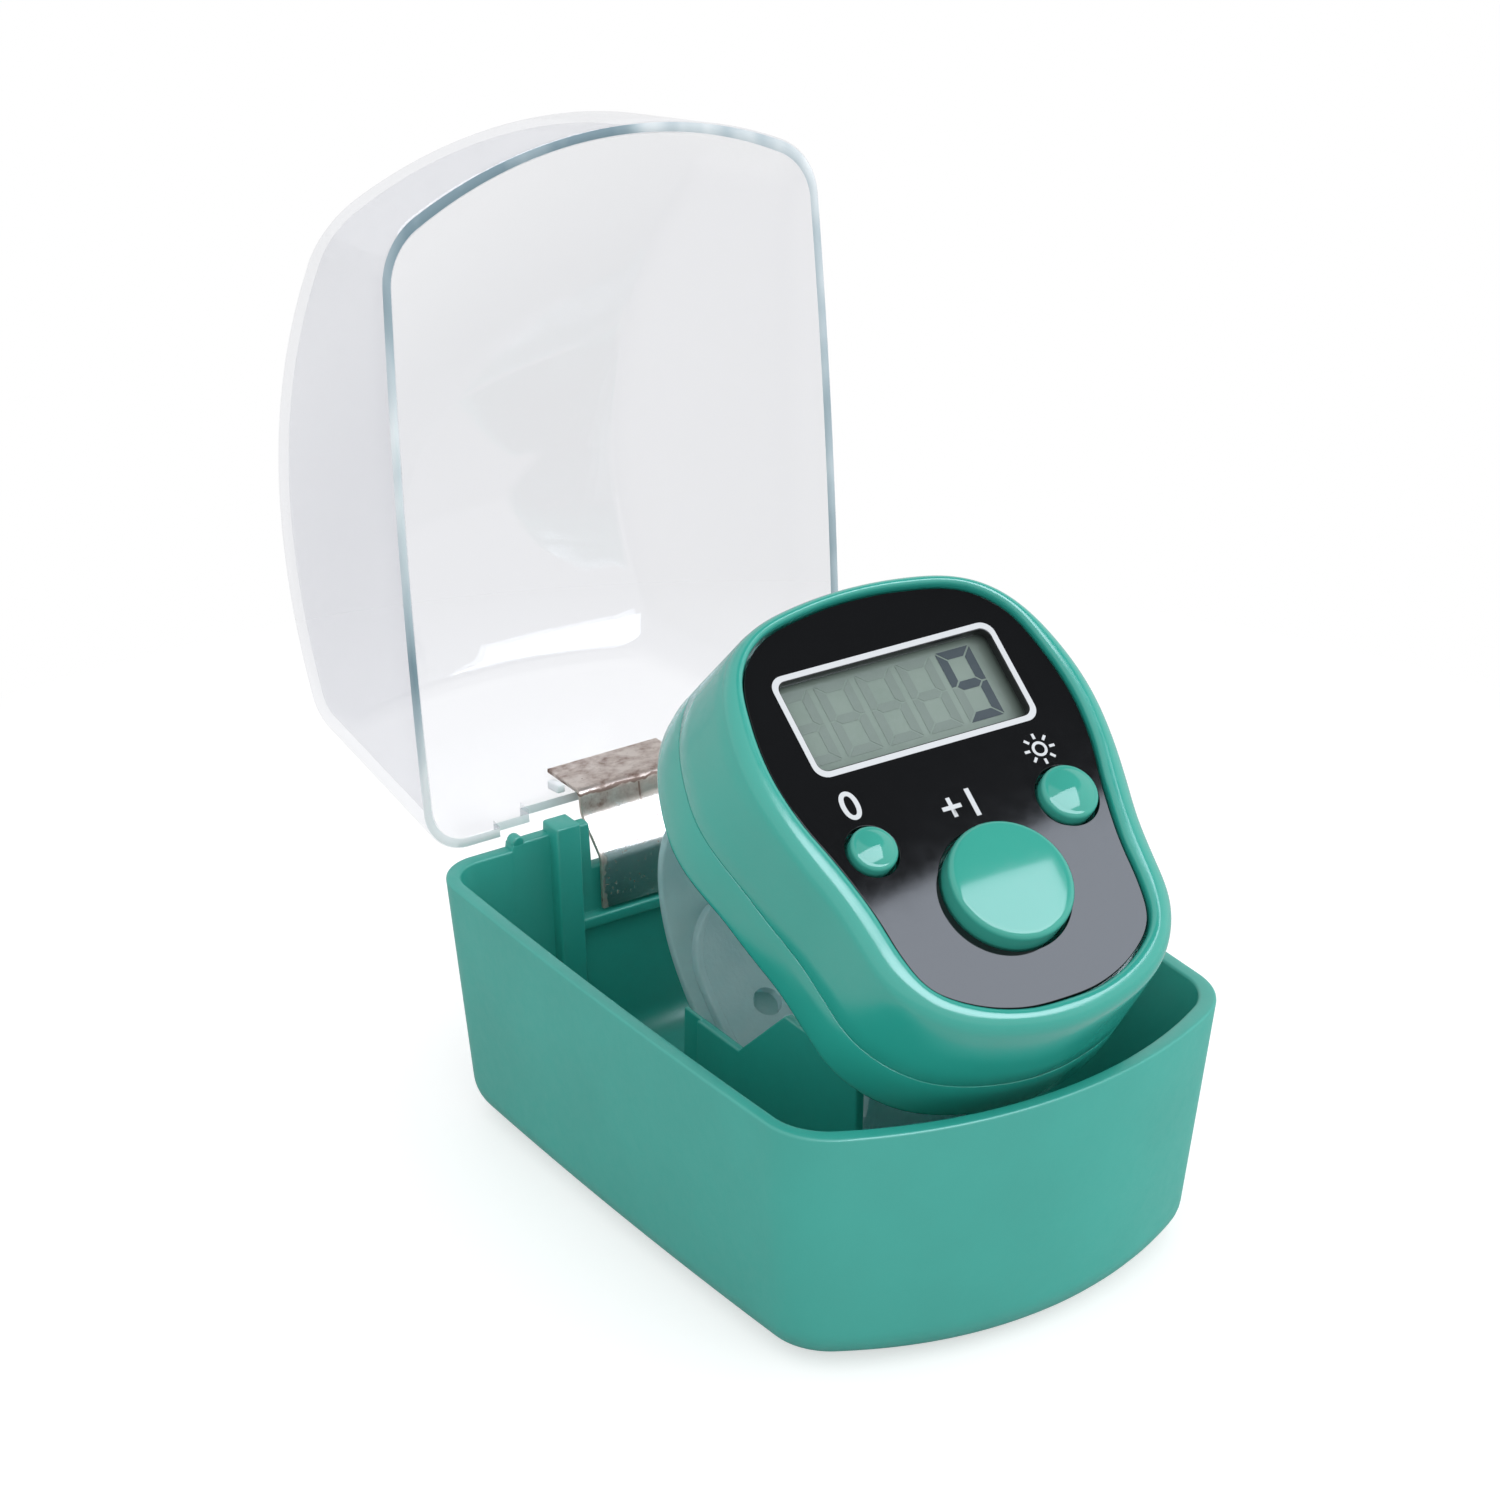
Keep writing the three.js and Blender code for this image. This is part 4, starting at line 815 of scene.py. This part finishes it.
def make_back_shell(finish):
    top, floor_top, round_z = PARTING - SEAM_SHOWN, BACK + BACK_FLOOR, BACK + BACK_RADIUS
    lap, inside, lap_top = WALL + GAP, WALL + GAP + LAP_WALL, top + LAP_RISE
    rings = [body_ring(inset, round_z - rise) for inset, rise in quarter_round(BACK_RADIUS, 10)[::-1]]
    rings += [body_ring(0, z) for z in (-FLARE_DEPTH, -9.3)]
    rings += [body_ring(inset, top, -drop) for inset, drop in SEAM_ROUND[::-1]]
    rings += [body_ring(*at) for at in ((lap, top), (lap, lap_top), (inside, lap_top), (inside, floor_top))]
    seat = round_rect((DOOR.bottom + DOOR.top) / 2, DOOR.half + DOOR.side_gap,
                      (DOOR.top - DOOR.bottom) / 2 + DOOR.side_gap, DOOR.radius)
    tools = [prism("door_seat", seat, BACK - 1, BACK + DOOR.step),
             box("link_slot", -CELL_X, CELL_X, CELL_Y - 2, CELL_Y + 2, BACK, WELL_TOP)]
    tools += [rod("well", side * CELL_X, CELL_Y, CELL_RADIUS + 0.3, BACK, WELL_TOP) for side in (-1, 1)]
    tools += [rod("recess", x, y, SCREW_HEAD + GAP, BACK - 1, BACK + SCREW_RECESS + GAP, 40) for x, y in SCREWS]
    tools += [rod("bore", x, y, SCREW_BORE, BACK - 0.5, floor_top + 0.5, 32)
              for x, y in SCREWS + [(0, DOOR_SCREW_Y)]]
    reach = STRAP.thickness / 2 + STRAP.border_rise + GAP + STRAP.slant
    tools += [prism("strap_slot", round_rect(y, half + GAP, reach, 0.4), BACK - 1, floor_top + 1)
              for y, half in ((STRAP_LOOP[0][0], STRAP.band), (TONGUE_Y, STRAP.tongue))]
    shell = cut(loft("back_skin", rings, sharp=40), *tools, sharp=40)
    dress(place(shell), finish, "counter", ["back_shell"])


def plate_with_holes(name, outlines, bottom, top, soft):
    """A flat plate from an outline and its holes, with softened upper and lower edges."""
    curve = bpy.data.curves.new(name, "CURVE")
    curve.dimensions = "2D"
    curve.fill_mode = "BOTH"
    curve.extrude = (top - bottom) / 2 * MM - soft * MM
    curve.bevel_depth = soft * MM
    curve.bevel_resolution = 2
    curve.offset = -soft * MM
    for outline in outlines:
        line = curve.splines.new("POLY")
        line.points.add(len(outline) - 1)
        for point, (x, y) in zip(line.points, outline):
            point.co = (x * MM, y * MM, 0, 1)
        line.use_cyclic_u = True
    return finish_mesh(curve_piece(name, curve, 0, 0, (top + bottom) / 2))


def make_panel(finish):
    holes = [circle(b.x, b.y, b.radius + BUTTON_GAP, 120) for b in BUTTONS.values()]
    outlines = [closed_outline(PANEL_HALF), round_rect(LCD_Y, *WINDOW), *holes]
    panel = plate_with_holes("face_plate", outlines, -PANEL_THICKNESS, 0, PLATE_SOFT)
    dress(place(panel), finish, "counter", ["face_panel"])


def make_button(name, finish):
    """A domed cap on a flange that the front plate holds in."""
    b = BUTTONS[name]
    radius, flange, flat = b.radius, b.radius + b.flange, b.radius - b.edge
    flange_top = -PANEL_THICKNESS - GAP - PLATE - GAP
    bottom = flange_top - FLANGE_THICKNESS
    profile = [(0, bottom - PIP_DEPTH), (PIP_RADIUS, bottom - PIP_DEPTH), (PIP_RADIUS + 0.1, bottom),
               (flange, bottom), (flange, flange_top), (radius, flange_top), (radius, -0.5)]
    profile += [(radius - inset, b.top - b.crown - b.edge + rise) for inset, rise in quarter_round(b.edge, 8)]
    profile += [(flat * s, b.top - b.crown * s ** 2) for s in (0.94, 0.8, 0.6, 0.4, 0.2, 0)]
    cap = turned(f"{name}_cap", profile, b.x, b.y)
    dress(place(cap), finish, name, [f"{name}_button"])


def make_print(finish):
    """White frame round the window, and plain marks at the buttons."""
    frame_lines = [round_rect(LCD_Y, *FRAME_OUTER), round_rect(LCD_Y, *FRAME_INNER)]
    pieces = [plate_with_holes("window_frame", frame_lines, *PRINT, PRINT_SOFT)]
    pieces += [mark(*each) for each in MARKS] + lamp_mark()
    dress(place(merge("panel_print", pieces)), finish, "counter")


def mark(text, x, y):
    curve = bpy.data.curves.new("mark", "FONT")
    curve.body = text
    curve.size = MARK_SIZE * MM
    curve.extrude = 0.012 * MM
    curve.offset = MARK_WEIGHT * MM
    curve.align_x = curve.align_y = "CENTER"
    return curve_piece("mark", curve, x, y, 0.02)


def lamp_mark():
    """A ring with short rays, the usual mark for a light."""
    x, y, half = LAMP.x, LAMP.y, LAMP.ray_half
    rings = [circle(x, y, radius, 36) for radius in (LAMP.outer, LAMP.inner)]
    made = [plate_with_holes("lamp_ring", rings, *PRINT, PRINT_SOFT)]
    for i in range(LAMP.rays):
        ray = box("ray", -half, half, LAMP.ray_start, LAMP.ray_end, 0.008, 0.032)
        turn = Matrix.Rotation(2 * pi * i / LAMP.rays, 4, "Z")
        ray.data.transform(Matrix.Translation(Vector((x, y, 0)) * MM) @ turn)
        made.append(ray)
    return made


# Display

def segment_shapes():
    """The seven bars of a digit as outlines, mitred where they meet."""
    w, h, b, g = DIGIT.width / 2, DIGIT.height / 2, DIGIT.bar, DIGIT.split
    top = [(-w + g, h), (w - g, h), (w - b - g, h - b), (-w + b + g, h - b)]
    middle = [(-w + b * 0.5 + g, 0), (-w + b + g, b / 2), (w - b - g, b / 2), (w - b * 0.5 - g, 0),
              (w - b - g, -b / 2), (-w + b + g, -b / 2)]
    right = [(w, h - g), (w, g * 0.6), (w - b * 0.5, g * 0.6 + 0.02), (w - b, b / 2 + g), (w - b, h - b - g)]

    def flipped(shape, x_sign, y_sign):
        return [(x_sign * x, y_sign * y) for x, y in shape]

    return dict(a=top, g=middle, b=right, f=flipped(right, -1, 1), c=flipped(right, 1, -1),
                e=flipped(right, -1, -1), d=flipped(top, 1, -1))


def make_digits(dark, ghost):
    """The display shows one digit in its last place; its other bars show faintly."""
    lit, faint = [], []
    for i in range(DIGIT_PLACES):
        for key, shape in segment_shapes().items():
            on = i == DIGIT_PLACES - 1 and key in SHOWN_BARS
            top = SHOWN_TOP if on else GHOST_TOP
            outline = [(DIGIT_X + DIGIT_PITCH * i + x, LCD_Y + DIGIT_RISE + y) for x, y in shape]
            (lit if on else faint).append(prism("segment", outline, top - BAR_THICKNESS, top))
    dress(place(merge("digit_segments", lit)), dark, "counter")
    dress(place(merge("ghost_segments", faint)), ghost, "counter")


# Strap

LOOP_LINE, LOOP_ALONG, LOOP_LENGTH = spline(STRAP_LOOP, 400)
TONGUE_Y = STRAP_LOOP[-1][0] + STRAP.thickness + GAP


def hang(piece):
    """The loop hangs straight down although the counter is turned."""
    lean = Matrix.Identity(4)
    lean[0][2], lean[0][3] = STRAP.sway, -STRAP.sway * BACK * MM
    piece.data.transform(lean)
    return piece


def rounded_end(half, tip, share, stretch):
    """Half the strap's width at a share of its length, narrowing in a round or long end at its tip."""
    left = min(abs(share - tip) * LOOP_LENGTH / (half * stretch), 1)
    return half * max(sqrt(1 - (1 - left) ** 2), 0.03)


def ribbon(name, start, end, steps, half, tip, offset=0.0, border=0.0, rise=0.0, stretch=1.0):
    """A band along the strap's loop with softened edges and, where asked, a raised border inside.

    Its rings stand closer together towards its rounded tip.
    """
    near = np.linspace(0, 1, steps) ** 1.6
    shares = np.sort(end - (end - start) * near if tip == end else start + (end - start) * near)
    outer, inner = offset + STRAP.thickness / 2, offset - STRAP.thickness / 2
    lip = inner - rise
    rings = []
    for share in shares:
        k = share * (len(LOOP_LINE) - 1)
        i = min(int(k), len(LOOP_LINE) - 2)
        (y, z), (ty, tz) = (row[i] + (row[i + 1] - row[i]) * (k - i) for row in (LOOP_LINE, LOOP_ALONG))
        h = rounded_end(half, tip, share, stretch)
        e, s = min(border, h * 0.4), min(0.16, h * 0.3)
        right = [(h - s, outer), (h - s * 0.3, outer - s * 0.3), (h, outer - s), (h, lip + s),
                 (h - s * 0.3, lip + s * 0.3), (h - s, lip)]
        right += [(h - e, lip), (h - e - s * 0.5, lip + rise * 0.5), (h - e - s, inner)] if rise else []
        section = right + [(-x, d) for x, d in right[::-1]]
        rings.append([(x, y - tz * d, z + ty * d) for x, d in section])
    return loft(name, rings, sharp=50)


def across_strap(name, share, radius, low, high):
    """A rod through the strap at a share of its length."""
    i = round(share * (len(LOOP_LINE) - 1))
    (y, z), (ty, tz) = LOOP_LINE[i], LOOP_ALONG[i]
    tool = rod(name, 0, 0, radius, low, high, 48)
    turn = Matrix(((1, 0, 0), (0, ty, -tz), (0, tz, ty))).to_4x4()
    tool.data.transform(Matrix.Translation(Vector((0, y, z)) * MM) @ turn)
    return tool


def hole_share(number):
    return STRAP.tip + (STRAP.first_hole + STRAP.pitch * number) / LOOP_LENGTH


def strap_head(y, half):
    bottom, wide, deep = BACK + BACK_FLOOR + GAP, half + STRAP.spread, STRAP.head_depth / 2
    head = box("strap_head", -wide, wide, y - deep, y + deep, bottom, bottom + STRAP.head)
    return rounded(head, SMALL_SOFT)


def make_strap(finish):
    """The outer band with its stud, and the inner tongue with its border and holes."""
    offset, band_end, tip = -(STRAP.thickness + GAP), STRAP.band_length, STRAP.tip
    band = ribbon("band", 0, band_end, 110, STRAP.band, band_end)
    stud = rounded(across_strap("stud", hole_share(STRAP.stud_hole), STRAP.stud_radius,
                                offset - STRAP.thickness / 2 - GAP, 0), SMALL_SOFT)
    tongue = ribbon("tongue", tip, 1, 150, STRAP.tongue, tip, offset, STRAP.border, STRAP.border_rise,
                    STRAP.tip_stretch)
    holes = [across_strap("hole", hole_share(i), STRAP.hole_radius, -4, 0) for i in range(STRAP.holes)]
    tongue = cut(tongue, *holes, sharp=50)
    outer = merge("strap_outer", [band, stud, strap_head(STRAP_LOOP[0][0], STRAP.band)], sharp=50)
    inner = merge("strap_inner", [tongue, strap_head(TONGUE_Y, STRAP.tongue)], sharp=50)
    dress(place(hang(outer)), finish, "counter", ["strap_band"])
    dress(place(hang(inner)), finish, "counter", ["strap_tongue"])


# Carried-over pieces

def dress_nodes(made):
    nodes = dict(
        display=["lcd_glass"], zebra=["zebra_connector"], clear=["light_guide"], lamp=["light_led"],
        board=["circuit_board"], epoxy=["chip_blob"], rubber=["keypad_rubber"],
        nickel=["battery_cell_left", "battery_cell_right", "battery_contact_positive",
                "battery_contact_negative", "battery_link_plate"],
        screw=["battery_door_screw"] + [f"shell_screw_{i}" for i in (1, 2, 3, 4)])
    for finish, names in nodes.items():
        for name in names:
            dress(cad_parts[name], made[finish])


def make_door(finish):
    """The battery door with softened edges."""
    door = add_object("door_plate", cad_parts["battery_door"].data.copy())
    dress(rounded(door, 0.12), finish, "counter", ["battery_door"])


# Floor, light and camera

def make_floor():
    """A pale floor that takes shadows near the object and fades to plain white away from it."""
    mesh = bpy.data.meshes.new("floor")
    mesh.from_pydata([(-3, -3, 0), (3, -3, 0), (3, 3, 0), (-3, 3, 0)], [], [(0, 1, 2, 3)])
    floor = add_object("floor", mesh)
    floor.location.z = -0.00002
    white, tree, shader = material("floor_white", (FLOOR_GREY,) * 3, 0.6, Specular_IOR_Level=0.2,
                                   Emission_Color=(1, 1, 1, 1))
    seen = seen_ray(tree)
    feed(shader, Emission_Strength=grey_ramp(tree, seen, FLOOR_GLOW, FLOOR_SEEN_GLOW, 0, 1))
    distance = vector_number(tree, "LENGTH", object_place(tree))
    backdrop = number(tree, "MULTIPLY", grey_ramp(tree, distance, 0, 1, *FLOOR_FADE), seen)
    final = node(tree, "MixShader")
    plain = node(tree, "Emission", Strength=1.0)
    for source, socket in zip((backdrop, shader.outputs[0], plain.outputs[0]), final.inputs):
        connect(source, socket)
    feed(tree.nodes["Material Output"], Surface=final.outputs[0])
    mesh.materials.append(white)


def seen_ray(tree):
    """1 for rays from the camera, also those through the clear plastic, else 0."""
    path = node(tree, "LightPath").outputs
    return number(tree, "MAXIMUM", path["Is Camera Ray"], path["Is Transmission Ray"])


def chosen(tree, share, first, second):
    """The first number where share is 0, and the second where it is 1."""
    made = node(tree, "Mix", data_type="FLOAT")
    for index, source in ((0, share), (2, first), (3, second)):
        connect(source, made.inputs[index])
    return made.outputs[0]


def area_light(name, rotation, location, size, energy, colour):
    data = bpy.data.lights.new(name, "AREA")
    data.shape = "RECTANGLE"
    data.size, data.size_y = size
    data.energy = energy
    data.color = colour
    lamp = add_object(name, data)
    lamp.location = location
    lamp.rotation_euler = rotation
    return lamp


def make_lights():
    """Gloss sees a level sky with the dark disc, the camera plain white, and all else the sloped sky."""
    world = bpy.data.worlds.new("studio")
    bpy.context.scene.world = world
    world.use_nodes = True
    tree = world.node_tree
    path = node(tree, "LightPath")
    direction = node(tree, "TexCoord").outputs["Generated"]
    towards_dark = vector_number(tree, "DOT_PRODUCT", direction, Vector(DARK_AT).normalized())
    glossy = grey_ramp(tree, towards_dark, 1.0, DARK_LEVEL, *(cos(radians(a)) for a in DARK_EDGE))
    sky = number(tree, "ADD", vector_number(tree, "DOT_PRODUCT", direction, SKY_SLOPE), SKY_LEVEL)
    level_shown = chosen(tree, path.outputs["Is Glossy Ray"], sky, glossy)
    seen = seen_ray(tree)
    feed(tree.nodes["Background"], Color=SKY_COLOUR, Strength=chosen(tree, seen, level_shown, 1.0))
    softbox = area_light("softbox", (0, 0, radians(SOFTBOX_TURN)), **SOFTBOX)
    softbox.visible_diffuse = False
    aim = Vector(FILL_AIM) - Vector(FILL.location)
    fill = area_light("right_fill", aim.to_track_quat("-Z", "Y").to_euler(), **FILL)
    fill.visible_glossy = False
    fill.visible_transmission = False


def make_camera():
    azimuth, elevation, roll = (radians(CAMERA[key]) for key in ("azimuth", "elevation", "roll"))
    ahead = cos(elevation)
    back = Vector((sin(azimuth) * ahead, -cos(azimuth) * ahead, sin(elevation)))
    right = Vector((cos(azimuth), sin(azimuth), 0))
    up = back.cross(right)
    right, up = cos(roll) * right + sin(roll) * up, -sin(roll) * right + cos(roll) * up
    data = bpy.data.cameras.new("photo_camera")
    data.sensor_width = SENSOR
    data.lens = FOCAL_PIXELS / PHOTO_PIXELS * SENSOR
    data.clip_start, data.clip_end = 0.01, 20
    camera = add_object("photo_camera", data)
    eye = (Vector(CAMERA.target) + CAMERA.distance * back) * MM
    camera.matrix_world = Matrix.Translation(eye) @ Matrix((right, up, back)).transposed().to_4x4()
    bpy.context.scene.camera = camera


bpy.context.scene.view_settings.view_transform = "Standard"
make_camera()
made = make_materials()
make_tray(made["case"])
make_lid(made["clear"], made["clear_edge"])
make_clip(made["clip"])
make_front_shell(made["shell"])
make_back_shell(made["shell"])
make_panel(made["panel"])
for button in BUTTONS:
    make_button(button, made["button"])
make_print(made["print"])
make_digits(made["segment"], made["ghost"])
make_strap(made["strap"])
make_door(made["shell"])
dress_nodes(made)
make_floor()
make_lights()
